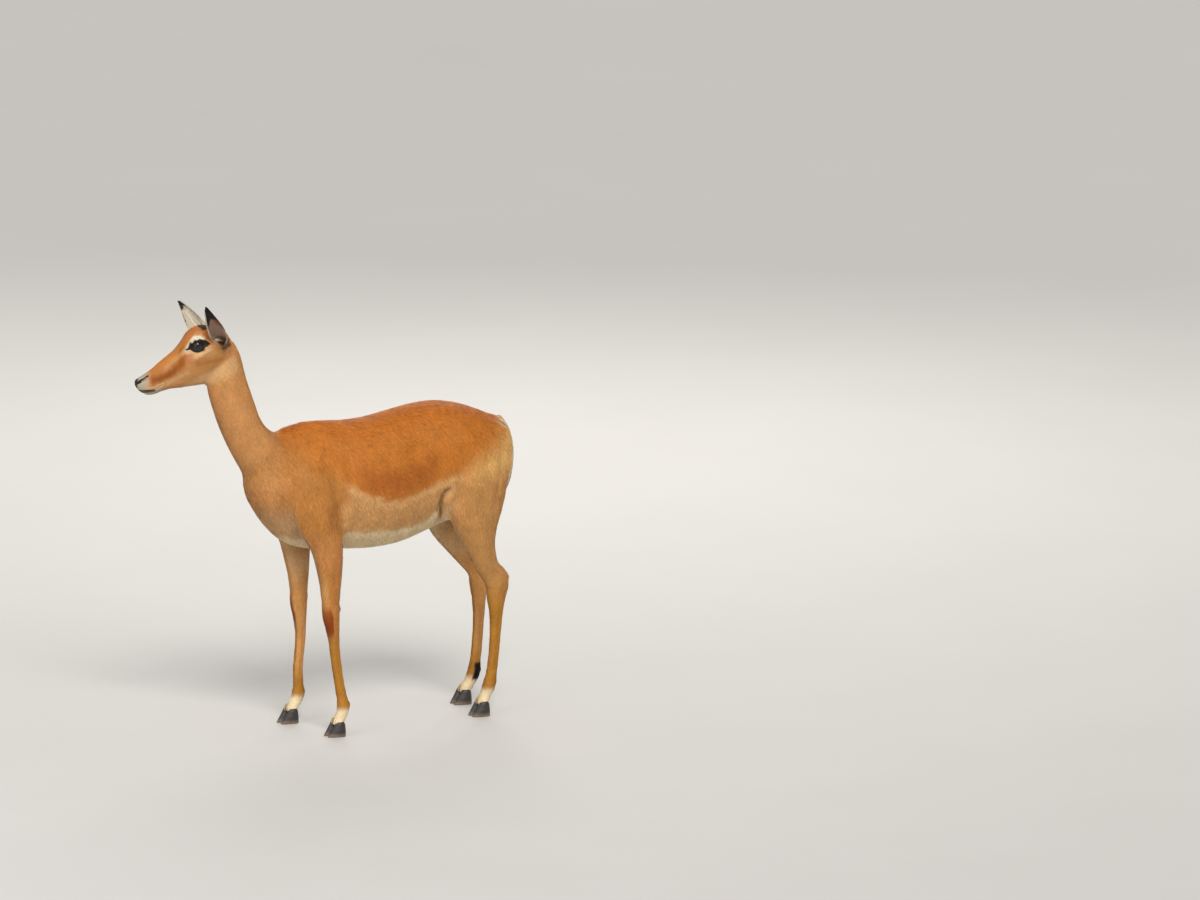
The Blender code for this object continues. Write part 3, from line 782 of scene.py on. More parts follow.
@dataclass
class Skin:
    """One closed skin over head, neck, trunk and legs.

    Attributes:
        cell: width of its faces on the body. Legs have half of it, the head a quarter, lids and lips less.
        body_coat: how deep the coat is over it on the body.
        leg_coat: how deep it is on the lower legs.
        face_coat: how deep it is on the face.
        overlap: how far the nodes are grown so that the thin cuts between them close.
        made: its object, once it is built.
        legs: each leg's middle line, once they are measured.
    """

    cell: float = 0.005
    overlap: float = 0.0006
    body_coat: float = 0.003
    leg_coat: float = 0.0012
    face_coat: float = 0.0009
    made: Object | None = field(default=None, repr=False)
    legs: dict[tuple[End, Side], Array] = field(default_factory=dict, repr=False)

    def build(self) -> None:
        """Builds the skin."""
        self.made = MeshMaker.remeshed(self.rough_form(), self.cell)
        mesh = self.made.data
        MeshMaker.relaxed(mesh, 30)
        MeshMaker.relaxed(mesh, 40, self.is_trunk(MeshMaker.points(mesh)), 0.6, -0.612)
        MeshMaker.relaxed(mesh, 40, self.is_joining(MeshMaker.points(mesh)), 0.5, 0.0)
        self.measure_legs(MeshMaker.points(mesh))
        MeshMaker.refined(mesh, lambda p: self.is_head(p) | self.is_lower_leg(p))
        MeshMaker.refined(mesh, self.is_fine)
        MeshMaker.relaxed(mesh, 10)
        self.add_relief(mesh)
        self.draw_in(mesh)
        MeshMaker.refined(mesh, self.is_finest)
        MeshMaker.relaxed(mesh, 2, 0.9 * self.is_finest(MeshMaker.points(mesh)))
        self.shape_face(mesh)
        mesh.polygons.foreach_set("use_smooth", np.full(len(mesh.polygons), True))

    def dress(self, markings: "Markings", leather: Material) -> None:
        """Colours the skin and puts its material on.

        Args:
            markings: its colours.
            leather: its material.
        """
        mesh = self.made.data
        colours, bare = markings.paint(MeshMaker.points(mesh), MeshMaker.normals(mesh))
        MeshMaker.paint(mesh, "markings", colours)
        MeshMaker.note(mesh, "bare", bare)
        settle(self.made, leather, "coat", *FLESH)

    def rough_form(self) -> Object:
        """Puts the nodes of flesh together, with a finer head in place of theirs.

        Returns:
            An object of closed pieces that pass through each other.
        """
        rings = ovals(smoothed(HEAD_STATIONS, 4), HEAD, 48)
        head = lofted("skin", rings, (0.008, 0.006))
        net = bmesh.new()
        for node in FLESH:
            if node != "head":
                net.from_mesh(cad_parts[node].data)
        bmesh.ops.remove_doubles(net, verts=net.verts, dist=1e-5)
        net.normal_update()
        for vertex in net.verts:
            vertex.co += vertex.normal * self.overlap
        net.from_mesh(head.data)
        net.to_mesh(head.data)
        net.free()
        return head

    @staticmethod
    def is_trunk(points: Array) -> Array:
        """How much points are on the trunk, away from legs and neck, from 0 to 1."""
        place = BODY.local(points)
        return ease(0.5, 0.56, place[:, 2]) * ease(0.46, 0.4, place[:, 0])

    @staticmethod
    def is_joining(points: Array) -> Array:
        """How much points are where the neck grows from the breast.

        Args:
            points: the points.

        Returns:
            A share for each, from 0 to 1.
        """
        place = BODY.local(points)
        total = bell(np.linalg.norm(place - THROAT, axis=1), 0.07)
        for spot, reach in NECK_SIDES:
            total += bell(np.linalg.norm(on_left(place) - spot, axis=1), reach)
        return np.clip(total, 0, 1)

    def measure_legs(self, points: Array) -> None:
        """Finds each leg's middle line, as rows of (up, ahead, left), from the floor up.

        Args:
            points: the points of the skin.
        """
        place = BODY.local(points)
        for end in End:
            for side in Side:
                mine = self.leg_mask(place, end, side)
                rows = []
                for up in np.arange(0.04, 0.5, 0.012):
                    near = place[mine & (np.abs(place[:, 2] - up) < 0.006)]
                    low, high = near.min(0), near.max(0)
                    rows.append((up, (low[0] + high[0]) / 2, (low[1] + high[1]) / 2))
                self.legs[end, side] = np.array(rows)

    @staticmethod
    def leg_mask(place: Array, end: End, side: Side) -> Array:
        """Which places along the body's axes are on one leg below the body.

        Args:
            place: the places.
            end: whether it is a fore leg.
            side: the leg's side.

        Returns:
            Whether each place is.
        """
        ahead = place[:, 0] > FORE_FROM if end is End.FORE else place[:, 0] < HIND_TO
        return ahead & (place[:, 1] * side.value > LEG_ASIDE) & (place[:, 2] < LEG_LEAVES[end])

    @staticmethod
    def is_head(points: Array) -> Array:
        """Which points are on the head.

        Args:
            points: the points.

        Returns:
            Whether each is.
        """
        place = HEAD.local(points)
        ahead = (place[:, 0] > HEAD_FROM) & (place[:, 2] > HEAD_BOTTOM)
        return ahead & (np.abs(place[:, 1]) < HEAD_HALF) & (points[:, 2] > HEAD_ABOVE)

    @staticmethod
    def is_lower_leg(points: Array) -> Array:
        """Which points are on the legs from the knee or the hock down."""
        return points[:, 2] < LOWER_LEG_TOP

    @staticmethod
    def to_eye(points: Array) -> Array:
        """How far points are from the nearer eye's centre."""
        return np.linalg.norm(on_left(HEAD.local(points)) - (0, EYE_APART, 0), axis=1)

    @classmethod
    def is_fine(cls, points: Array) -> Array:
        """Which points are round the eyes and on the muzzle."""
        return (cls.to_eye(points) < 0.036) | (cls.is_head(points) & (HEAD.local(points)[:, 0] > 0.118))

    @classmethod
    def is_finest(cls, points: Array) -> Array:
        """Which points are on the lids, at the nostrils or along the lips.

        Args:
            points: the points.

        Returns:
            Whether each is.
        """
        place = on_left(HEAD.local(points))
        chosen = cls.to_eye(points) < 0.026
        head = cls.is_head(points) & (place[:, 0] > 0.115)
        near = np.full(len(points), False)
        for fold in HEAD_FOLDS:
            near[head] |= to_line(place[head], np.array(fold.line))[0] < 0.0055
        return chosen | near

    def leg_place(self, points: Array, end: End, side: Side) -> Array:
        """Places seen from a leg's own middle line.

        Args:
            points: world points.
            end: whether it is a fore leg.
            side: the leg's side.

        Returns:
            Rows of (ahead of the line, outwards of it, up).
        """
        place = BODY.local(points)
        line = self.legs[end, side]
        place[:, 0] -= np.interp(place[:, 2], line[:, 0], line[:, 1])
        place[:, 1] = (place[:, 1] - np.interp(place[:, 2], line[:, 0], line[:, 2])) * side.value
        return place

    @staticmethod
    def relief(place: Array, forms: Sequence[Relief], surface: Array | None = None) -> Array:
        """How high some forms raise places.

        Args:
            place: the places, along the axes that the forms are written in.
            forms: the forms.
            surface: places on the skin that the forms' lines are first moved to, or none.

        Returns:
            The heights.
        """
        height = np.zeros(len(place))
        for form in forms:
            for sign in (1, -1) if form.paired else (1,):
                line = np.array(form.line) * (1, sign, 1)
                if surface is not None:
                    nearest = [np.argmin(((surface - corner) ** 2).sum(1)) for corner in line]
                    line = surface[nearest]
                low, high = line.min(0) - 3 * form.reach, line.max(0) + 3 * form.reach
                near = np.flatnonzero(((place > low) & (place < high)).all(1))
                if len(near):
                    distance, share = to_line(place[near], line)
                    length = np.linalg.norm(np.diff(line, axis=0), axis=1).sum()
                    fade = 1.0
                    if form.fades and length > 5 * form.reach:
                        from_end = length * np.minimum(share, 1 - share)
                        fade = ease(-0.5 * form.reach, 3 * form.reach, from_end)
                    height[near] += form.height * fade * bell(distance, form.reach)
        return height

    @staticmethod
    def ribs(place: Array) -> Array:
        """How high the ribs show through.

        Args:
            place: places along the body's axes.

        Returns:
            The heights.
        """
        height = np.zeros(len(place))
        for start in RIB_STARTS:
            for sign in (1, -1):
                distance, share = to_line(place, (np.array(RIB) + (start, 0, 0)) * (1, sign, 1))
                height += 0.0006 * bell(distance, 0.009) * np.sin(np.clip(share, 0, 1) * math.pi)
        return height

    def add_relief(self, mesh: Mesh) -> None:
        """Raises bones and muscles and sinks the hollows between them.

        Args:
            mesh: the skin.
        """
        points, normals = MeshMaker.points(mesh), MeshMaker.normals(mesh)
        place = BODY.local(points)
        groin = place[(np.abs(place[:, 0] + 0.07) < 0.06) & (np.abs(place[:, 2] - 0.6) < 0.07)]
        height = self.relief(place, BODY_RELIEF) + self.ribs(place) + self.relief(place, GROIN_RELIEF, groin)
        for end, forms in ((End.FORE, FORE_RELIEF), (End.HIND, HIND_RELIEF)):
            for side in Side:
                mine = self.leg_mask(place, end, side)
                height[mine] += self.relief(self.leg_place(points[mine], end, side), forms)
        head = self.is_head(points)
        height[head] += self.relief(HEAD.local(points[head]), HEAD_RELIEF)
        MeshMaker.move(mesh, points + normals * height[:, None])

    def coat_depth(self, points: Array) -> Array:
        """How deep the coat is at points of the skin.

        Args:
            points: points of the skin.

        Returns:
            The depths.
        """
        place = HEAD.local(points)
        depth = self.leg_coat + (self.body_coat - self.leg_coat) * ease(0.32, 0.5, points[:, 2])
        face = self.is_head(points) * ease(-0.07, -0.03, place[:, 0]) * ease(-0.125, -0.095, place[:, 2])
        depth += (self.face_coat - depth) * face
        return depth * (1 - 0.8 * face * ease(0.13, 0.17, place[:, 0]))

    def draw_in(self, mesh: Mesh) -> None:
        """Sinks the skin below the outline by the depth of its coat, but not the soles of the legs.

        Args:
            mesh: the skin.
        """
        points, normals = MeshMaker.points(mesh), MeshMaker.normals(mesh)
        depth = self.coat_depth(points)
        foot = ease(0.046, 0.038, points[:, 2])
        normals[:, 2] *= 1 - foot
        MeshMaker.move(mesh, points - normals * depth[:, None])

    def shape_face(self, mesh: Mesh) -> None:
        """Shapes lids round the eyes, and sinks nostrils and lips.

        Args:
            mesh: the skin.
        """
        points, normals = MeshMaker.points(mesh), MeshMaker.normals(mesh)
        head = np.flatnonzero(self.is_head(points))
        place = HEAD.local(points[head])
        fold = self.relief(place, HEAD_FOLDS, place[place[:, 0] > 0.1])
        points[head] += normals[head] * fold[:, None]
        place = HEAD.local(points[head])
        for sign in (1, -1):
            local = place * (1, sign, 1) - (0, EYE_APART, 0)
            near = (np.linalg.norm(local, axis=1) < 0.045) & (local[:, 1] > -0.006)
            local = local[near]
            reach = np.linalg.norm(local, axis=1)
            out = EYE.outside(local[:, 0], local[:, 2])
            upper = local[:, 2] > 0.1 * local[:, 0]
            rim = EYE_RADIUS + 0.001 + 0.0012 * bell(out - 0.0022, 0.0018) + 0.05 * np.clip(out, 0, 0.01)
            inside = EYE_RADIUS - 0.006 * ease(0.0004, -0.0016, out)
            lid = np.where(out > 0.0004, rim, inside)
            lid += (rim - inside) * ease(-0.0004, 0.0004, out) * (out <= 0.0004)
            free = ease(0.0035, 0.0125, out)
            crease = np.where(upper, 0.0016, 0.0009) * bell(out - 0.0078, 0.0016)
            wanted = lid * (1 - free) + reach * free - crease
            local *= (wanted / reach)[:, None]
            place[near] = (local + (0, EYE_APART, 0)) * (1, sign, 1)
        points[head] = HEAD.place(place)
        MeshMaker.move(mesh, points)


class Tint(Enum):
    """The colours of coat, bare skin, eyes and horn, with painted shade and highlights among them."""

    SADDLE = (192, 117, 44)
    BACK = (195, 113, 40)
    TAN = (194, 132, 74)
    SHOULDER = (184, 123, 60)
    NECK = (197, 140, 84)
    NAPE = (194, 137, 76)
    FLANK = (197, 147, 92)
    PALE_LINE = (211, 163, 106)
    THIGH = (186, 136, 79)
    # pale tan of the haunch, also laid as a painted highlight on the fore legs
    HAUNCH = (215, 169, 103)
    CREAM = (226, 206, 168)
    WHITE = (232, 222, 200)
    # tan of the chest, darkened with painted shade
    CHEST = (194, 151, 106)
    FOREARM = (180, 119, 60)
    CANNON = (175, 119, 42)
    KNEE = (138, 62, 12)
    BLACK = (26, 20, 18)
    FACE = (200, 140, 86)
    BRIDGE = (190, 120, 50)
    BAND = (146, 78, 18)
    ROSY = (204, 132, 100)
    CHEEK = (190, 138, 76)
    CHEEK_BAND = (172, 110, 58)
    JAW = (211, 166, 114)
    CROWN = (202, 126, 66)
    RUST = (134, 66, 28)
    # painted shade: the ear's inside as it looks in shadow
    TAUPE = (150, 122, 104)
    # painted shade: the ear's shaded lobe, the hollow under its root and the cleft between the claws
    LOBE = (88, 62, 44)
    LEATHER = (38, 32, 32)
    EAR_BACK = (192, 130, 70)
    BELLY = (224, 200, 158)
    INNER_LEG = (212, 154, 90)
    # painted shade of the groin's crease
    FOLD = (96, 64, 40)
    DOWN = (200, 188, 168)
    # pale muzzle, darkened with painted shade
    MUZZLE = (180, 168, 146)
    LOW_SADDLE = (168, 92, 38)
    EYE_RIM = (19, 14, 12)
    IRIS = (33, 21, 15)
    PUPIL = (8, 9, 13)
    HORN = (46, 40, 38)
    HORN_DUST = (128, 108, 88)

    @property
    def colour(self) -> Array:
        """The colour in linear light."""
        return srgb(*self.value)


def ripple(points: Array, width: float, seed: int) -> Array:
    """Soft unevenness over space.

    Args:
        points: where it is read.
        width: about how far apart its humps are.
        seed: which of many patterns it is.

    Returns:
        Values from about -1 to 1.
    """
    rng = np.random.default_rng(seed)
    total = np.zeros(len(points))
    for _ in range(7):
        wave = unit(rng.normal(size=3)) * 2 * math.pi / (width * rng.uniform(0.7, 1.5))
        total += np.sin(points @ wave + rng.uniform(0, 2 * math.pi))
    return total / 3


@dataclass
class Markings:
    """The colours of the coat and the bare skin, by place.

    Attributes:
        skin: the skin, which knows where the legs are.
        saddle_edge: lower edge of the dark saddle, as knots of (ahead, up).
        belly_edge: upper edge of the white belly, as knots of (ahead, up).
    """

    skin: Skin
    saddle_edge: tuple[tuple[float, float], ...] = (
        (-0.3, 0.775), (-0.22, 0.725), (-0.15, 0.692), (-0.102, 0.68), (-0.062, 0.669),
        (-0.027, 0.656), (0.024, 0.64), (0.079, 0.632), (0.122, 0.637), (0.171, 0.654),
        (0.22, 0.684), (0.27, 0.716), (0.33, 0.742), (0.4, 0.765),
    )
    belly_edge: tuple[tuple[float, float], ...] = (
        (-0.12, 0.6), (-0.066, 0.584), (-0.033, 0.553), (0.018, 0.5435),
        (0.07, 0.54), (0.159, 0.545), (0.229, 0.5485), (0.3, 0.52),
    )

    @staticmethod
    def lay(colours: Array, tint: Tint, where: Array) -> None:
        """Lays a tint over colours, where and as strongly as a mask says."""
        mask = np.clip(where, 0, 1)[:, None]
        colours += (tint.colour - colours) * mask

    def paint(self, points: Array, normals: Array) -> tuple[Array, Array]:
        """Colours of the coat and how bare the skin is.

        Args:
            points: places on the skin.
            normals: directions outwards there.

        Returns:
            Linear colours on rows, and the share of bare skin, from 0 to 1.
        """
        colours = self.body(points, normals)
        bare = np.zeros(len(points))
        head = Skin.is_head(points)
        if head.any():
            face, face_bare = self.head(points[head])
            local = HEAD.local(points[head])
            blend = ease(-0.098, -0.072, local[:, 0]) * ease(-0.125, -0.1, local[:, 2])
            colours[head] += (face - colours[head]) * blend[:, None]
            bare[head] = face_bare
        uneven = 1 + 0.05 * ripple(points, 0.05, 3) + 0.03 * ripple(points, 0.014, 4)
        return np.clip(colours * uneven[:, None], 0.002, 0.95), bare

    def body(self, points: Array, normals: Array) -> Array:
        """Colours of the coat on neck, trunk and legs.

        Args:
            points: places on the skin.
            normals: directions outwards there.

        Returns:
            Linear colours on rows.
        """
        place, facing = BODY.local(points), normals @ BODY.rows.T
        place[:, 2] += 0.004 * ripple(points, 0.03, 1)
        ahead, left, up = place.T
        aside = np.abs(left)
        outward = facing[:, 1] * np.sign(left)
        colours = np.tile(Tint.TAN.colour, (len(points), 1))
        lay = partial(self.lay, colours)

        lay(Tint.SHOULDER, ease(0.2, 0.27, ahead) * ease(0.5, 0.6, up))
        neck = ease(0.0, 0.05, up_the_neck(ahead, up))
        lay(Tint.NECK, neck)
        lay(Tint.NAPE, neck * ease(0.2, 0.8, -facing[:, 0]))
        lay(Tint.NECK, 0.8 * ease(0.37, 0.43, ahead) * ease(0.6, 0.66, up) * (1 - neck))
        lay(Tint.HAUNCH, ease(-0.1, -0.17, ahead) * ease(0.6, 0.7, up))
        thigh = ease(-0.1, -0.16, ahead) * ease(-0.32, -0.22, ahead)
        lay(Tint.THIGH, thigh * ease(0.685, 0.61, up))
        chest = ease(0.3, 0.36, ahead) * ease(0.66, 0.58, up)
        chest += ease(0.25, 0.3, ahead) * ease(0.56, 0.52, up)
        # the chest's front and underside in tan, darkened with painted shade
        lay(Tint.CHEST, chest * ease(0.105, 0.08, aside) * (up > LOWER_LEG_TOP))
        lay(Tint.BELLY, chest * ease(0.555, 0.515, up) * ease(0.065, 0.04, aside) * (up > LOWER_LEG_TOP))

        edge = through(self.saddle_edge, ahead)
        soft = 0.008 + 0.045 * ease(-0.06, -0.16, ahead) + 0.035 * ease(0.19, 0.26, ahead)
        flank = ease(0.245, 0.2, ahead + 0.1 * (up - 0.6)) * ease(-0.15, -0.09, ahead) * (up > 0.46)
        lay(Tint.FLANK, flank * ease(edge + 0.01, edge - 0.01, up))
        lay(Tint.PALE_LINE, 0.8 * flank * bell(up - edge + 0.015, 0.012))
        saddle = ease(-soft, soft, up - edge) * ease(0.42, 0.3, ahead)
        lay(Tint.SADDLE, saddle * ease(-0.33, -0.25, ahead))
        lay(Tint.BACK, 0.8 * ease(0.4, 0.95, facing[:, 2]) * ease(0.76, 0.8, up) * (ahead < 0.4))
        low_saddle = bell(up - edge - 0.04, 0.035) * ease(-0.1, 0.0, ahead) * ease(0.22, 0.15, ahead)
        lay(Tint.LOW_SADDLE, 0.7 * low_saddle)
        # painted highlight: a pale line down the rear edge of the upper arm, above the elbow
        arm = to_line(np.column_stack([ahead, up]), np.array(((0.232, 0.625), (0.224, 0.57))))[0]
        lay(Tint.PALE_LINE, 0.55 * bell(arm, 0.012) * (aside > 0.07))

        belly = through(self.belly_edge, ahead)
        under = ease(belly + 0.006, belly - 0.006, up) * (up > LOWER_LEG_TOP) * ease(0.235, 0.205, ahead)
        under *= np.maximum(ease(-0.071, -0.06, ahead), ease(0.2, -0.4, outward))
        lay(Tint.BELLY, under * ease(-0.19, -0.12, ahead))
        # painted shade: a dark line down the crease between the flank and the thigh
        crease = ((-0.086, 0.634), (-0.076, 0.62), (-0.07, 0.6), (-0.071, 0.58), (-0.08, 0.55))
        fold = to_line(np.column_stack([ahead, up]), np.array(crease))[0]
        lay(Tint.FOLD, 0.75 * ease(0.0085, 0.0015, fold) * (aside > 0.06))
        lay(Tint.PALE_LINE, 0.6 * bell(fold - 0.013, 0.006) * (ahead < -0.072) * (aside > 0.06))
        self.legs(colours, points, place, facing, outward)
        breast = ease(-0.3, -0.85, facing[:, 2]) * ease(0.12, 0.09, aside)
        lay(Tint.BELLY, breast * (up > 0.46) * (up < 0.6) * ease(0.33, 0.27, ahead))
        self.rump(colours, ahead, aside, up, facing)
        return colours

    def legs(self, colours: Array, points: Array, place: Array, facing: Array, outward: Array) -> None:
        """Lays the marks of the legs on the colours.

        Args:
            colours: the colours of all places.
            points: the places in the world.
            place: the same along the body's axes.
            facing: directions outwards, along those axes.
            outward: how far they face away from the body's middle.
        """
        up = place[:, 2]
        inner = ease(-0.1, -0.65, outward) * ease(0.62, 0.5, up)
        for end in End:
            fore = end is End.FORE
            for side in Side:
                mine = Skin.leg_mask(place, end, side)
                if not mine.any():
                    continue
                local = self.skin.leg_place(points[mine], end, side)
                face, height = facing[mine], local[:, 2]
                part = colours[mine]
                lay = partial(self.lay, part)
                join = ease(0.5, 0.43, height) if fore else ease(0.52, 0.44, height)
                if fore:
                    lay(Tint.FOREARM, join * (1 - 0.4 * (side is Side.RIGHT)))
                    lay(Tint.CANNON, ease(0.3, 0.22, height))
                    knee = bell(height - 0.312, 0.044) * ease(0.25, 0.75, face[:, 0] + 0.3 * outward[mine])
                    lay(Tint.KNEE, 0.95 * ease(0.25, 0.7, knee))
                    # painted highlight: pale tan on the front of the forearm above the knee, where it faces
                    # ahead
                    lay(Tint.HAUNCH, 0.5 * ease(0.3, 0.8, face[:, 0]) * bell(height - 0.4, 0.05))
                else:
                    lay(Tint.THIGH, 0.6 * join)
                    lay(Tint.CANNON, ease(0.4, 0.28, height))
                lay(Tint.INNER_LEG, inner[mine] * join * ease(0.09, 0.2, height))
                lay(Tint.CREAM, 0.4 * inner[mine] * join * ease(0.36, 0.46, height))
                rear = ease(0.3, 0.9, -face[:, 0]) * ease(0.1, 0.2, height)
                lay(Tint.CREAM, 0.25 * join * rear)
                lay(Tint.CREAM, ease(0.085, 0.066, height))
                # painted shade: a dark line down the cleft between the claws, front and back
                lay(Tint.LOBE, 0.7 * bell(local[:, 1], 0.0035) * ease(0.06, 0.045, height))
                if not fore:
                    wrap = ease(0.0, 0.4, -0.8 * face[:, 0] - 0.5 * outward[mine])
                    tall = (((height - 0.088) / 0.025) ** 2 + (local[:, 1] / 0.03) ** 2) ** 0.5
                    lay(Tint.BLACK, wrap * ease(1.15, 0.85, tall))
                colours[mine] = part

    def rump(self, colours: Array, ahead: Array, aside: Array, up: Array, facing: Array) -> None:
        """Lays the white of the buttocks and their black stripes on the colours.

        Args:
            colours: the colours of all places.
            ahead: how far ahead each place is.
            aside: how far it is from the middle.
            up: its height.
            facing: directions outwards, along the body's axes.
        """
        lay = partial(self.lay, colours)
        behind = ease(0.02, 0.35, -facing[:, 0]) * (ahead < -0.2)
        behind *= ease(0.44, 0.5, up) * ease(0.8, 0.76, up)
        edge = through(((0.44, 0.048), (0.52, 0.064), (0.62, 0.076), (0.7, 0.071), (0.78, 0.036)), up)
        lay(Tint.CREAM, 0.9 * behind * ease(edge + 0.016, edge + 0.008, aside))
        lay(Tint.BLACK, behind * bell(aside - edge + 0.002, 0.0048) * ease(0.52, 0.57, up))
        lay(Tint.WHITE, behind * ease(edge - 0.006, edge - 0.012, aside))

    def head(self, points: Array) -> tuple[Array, Array]:
        """Colours of the head.

        Args:
            points: places on its skin.

        Returns:
            Linear colours on rows, and the share of bare skin, from 0 to 1.
        """
        place = HEAD.local(points)
        place += 0.0012 * np.column_stack([ripple(points, 0.012, k) for k in (5, 6, 7)])
        ahead, left, up = place.T
        aside = np.abs(left)
        flat = np.column_stack([ahead, np.zeros(len(place)), up])
        colours = np.tile(Tint.FACE.colour, (len(points), 1))
        lay = partial(self.lay, colours)
        outer = ease(0.01, 0.022, aside)

        def along(*corners: tuple[float, float]) -> Array:
            """How far places are from a line of (ahead, up) corners, as seen from the side."""
            return to_line(flat, np.array([(a, 0, h) for a, h in corners]))[0]

        bridge = ((-0.09, -0.02), (-0.02, 0.006), (0.03, 0.004), (0.08, -0.018), (0.16, -0.032))
        lay(Tint.BRIDGE, 0.9 * ease(-0.01, 0.006, up - through(bridge, ahead)))
        lay(Tint.CROWN, 0.9 * ease(0.012, 0.024, up) * ease(0.045, 0.01, ahead))
        lay(Tint.CHEEK, 0.7 * bell(along((-0.03, -0.045), (0.03, -0.055)), 0.03))
        cheek_band = along((0.02, -0.046), (-0.01, -0.05), (-0.045, -0.06))
        lay(Tint.CHEEK_BAND, 0.75 * outer * bell(cheek_band, 0.01))
        lay(Tint.JAW, 0.9 * ease(-0.072, -0.088, up + 0.12 * ahead))
        band = along((0.043, -0.006), (0.063, -0.029), (0.098, -0.041), (0.126, -0.04), (0.142, -0.037))
        lay(Tint.BAND, outer * bell(band, 0.015))
        lay(Tint.ROSY, 0.8 * outer * bell(along((0.034, -0.019)), 0.009))
        lay(Tint.JAW, 0.8 * outer * bell(along((0.055, -0.058), (0.11, -0.062)), 0.008))
        lay(Tint.JAW, 0.8 * outer * bell(along((0.018, -0.024), (-0.022, -0.028)), 0.008))
        lay(Tint.CREAM, 0.5 * outer * bell(along((0.018, -0.018), (-0.022, -0.021)), 0.0045))
        # painted highlight: a pale streak where light catches the ridge of the nose bone
        ridge = along((0.05, -0.006), (0.098, -0.022))
        lay(Tint.PALE_LINE, 0.4 * outer * bell(ridge, 0.006))
        lip = along((0.164, -0.053), (0.146, -0.0585), (0.124, -0.0575))
        lay(Tint.JAW, 0.9 * ease(0.007, 0.0035, lip))
        # pale muzzle and chin, darkened with painted shade
        lay(Tint.MUZZLE, ease(0.136, 0.163, ahead + 0.55 * (up + 0.022)) * ease(-0.074, -0.06, up))
        lay(Tint.MUZZLE, ease(0.11, 0.15, ahead) * ease(-0.057, -0.065, up) * 0.9)

        eye_along, eye_across = EYE.along(ahead, up)
        beside = ease(0.03, 0.036, aside)
        halo = (((eye_along - 0.0032) / 0.0362) ** 2 + ((eye_across - 0.002) / 0.024) ** 2) ** 0.5
        share = np.clip((eye_along + 0.0005) / 0.029, -1, 1)
        dark = np.abs(eye_across - 0.0004) / (0.0162 * (1 - np.abs(share) ** 2.1) + 0.0012)
        dark = np.maximum(dark, np.abs(eye_along + 0.0005) / 0.029)
        front = ease(-0.024, -0.012, eye_along) * ease(-0.014, -0.004, eye_across + 0.15 * eye_along)
        over_lid = ease(1.55, 1.1, halo) * np.clip(front, 0, 1) * ease(0.024, 0.031, aside)
        lay(Tint.JAW, 0.75 * over_lid)
        lay(Tint.WHITE, beside * ease(1.06, 0.94, halo) * np.clip(front, 0, 1))
        lay(Tint.JAW, 0.9 * beside * ease(1.06, 0.92, halo) * ease(-0.002, -0.008, eye_across))
        tear = along((0.022, 0.002), (0.0315, 0.002))
        lay(Tint.BLACK, beside * np.clip(ease(1.04, 0.92, dark) + ease(0.003, 0.0018, tear), 0, 1))

        crown = bell(along((-0.034, 0.036), (-0.052, 0.028)), 0.01) * ease(0.04, 0.028, aside)
        lay(Tint.BLACK, 1.15 * ease(0.25, 0.75, crown))
        rust = bell(along((-0.036, 0.02), (-0.03, 0.008)), 0.008) * ease(0.045, 0.03, aside)
        lay(Tint.RUST, 0.85 * outer * rust)
        # painted shade: the shaded lobe of the ear and the hollow under its root, dark on the head
        hollow = along((-0.058, -0.013), (-0.068, -0.017), (-0.079, -0.034))
        lay(Tint.LOBE, 0.92 * ease(0.0125, 0.008, hollow) * (aside > 0.03))
        streak = ease(0.0048, 0.003, along((-0.049, -0.002), (-0.062, -0.01)))
        lay(Tint.WHITE, 0.95 * streak * (aside > 0.03))
        ahead, left, up = HEAD.local(points).T
        aside = np.abs(left)
        flat = np.column_stack([ahead, np.zeros(len(place)), up])
        folded = np.column_stack([ahead, aside, up])
        beside_nose = along(*NOSTRIL) + 0.03 * (aside < 0.0125)
        opening = np.array(((0.018, -0.0268), (0.013, -0.0285), (0.009, -0.0315)))
        before = to_line(np.column_stack([aside, up]), opening)[0] + 0.03 * (ahead < 0.172)
        nostril = np.minimum(beside_nose, before) - 0.0008 - 0.0026 * ease(0.15, 0.172, ahead)
        lips = to_line(folded, np.array(HEAD_FOLDS[3].line + HEAD_FOLDS[4].line[1:]))[0]
        pad = ((aside / 0.0112) ** 2 + ((up + 0.035) / 0.0145) ** 2) ** 0.5
        pad = ease(0.172, 0.177, ahead) * ease(1.1, 0.94, pad)
        lower_lip = along((0.186, -0.0545), (0.168, -0.0605), (0.15, -0.0655))
        black = ease(0.0014, 0.0004, nostril) + ease(0.0032, 0.0018, lips) + pad
        lay(Tint.BLACK, np.clip(black, 0, 1))
        lay(Tint.LEATHER, 0.8 * ease(0.0042, 0.002, lower_lip) * (up < -0.05))
        lids = ease(0.0052, 0.0036, EYE.outside(ahead, up)) * beside
        bare = np.clip(lids + ease(0.0012, 0.0002, nostril) + ease(0.002, 0.0014, lips) + pad, 0, 1)
        return colours, bare


@dataclass(frozen=True)
class Hair:
    """How the coat grows at some roots.

    Attributes:
        length: length of each tuft.
        width: width of each tuft at its root.
        lift: angle at which it leaves the skin.
        settle: angle at which its outer half lies.
    """

    length: Array
    width: Array
    lift: Array
    settle: Array


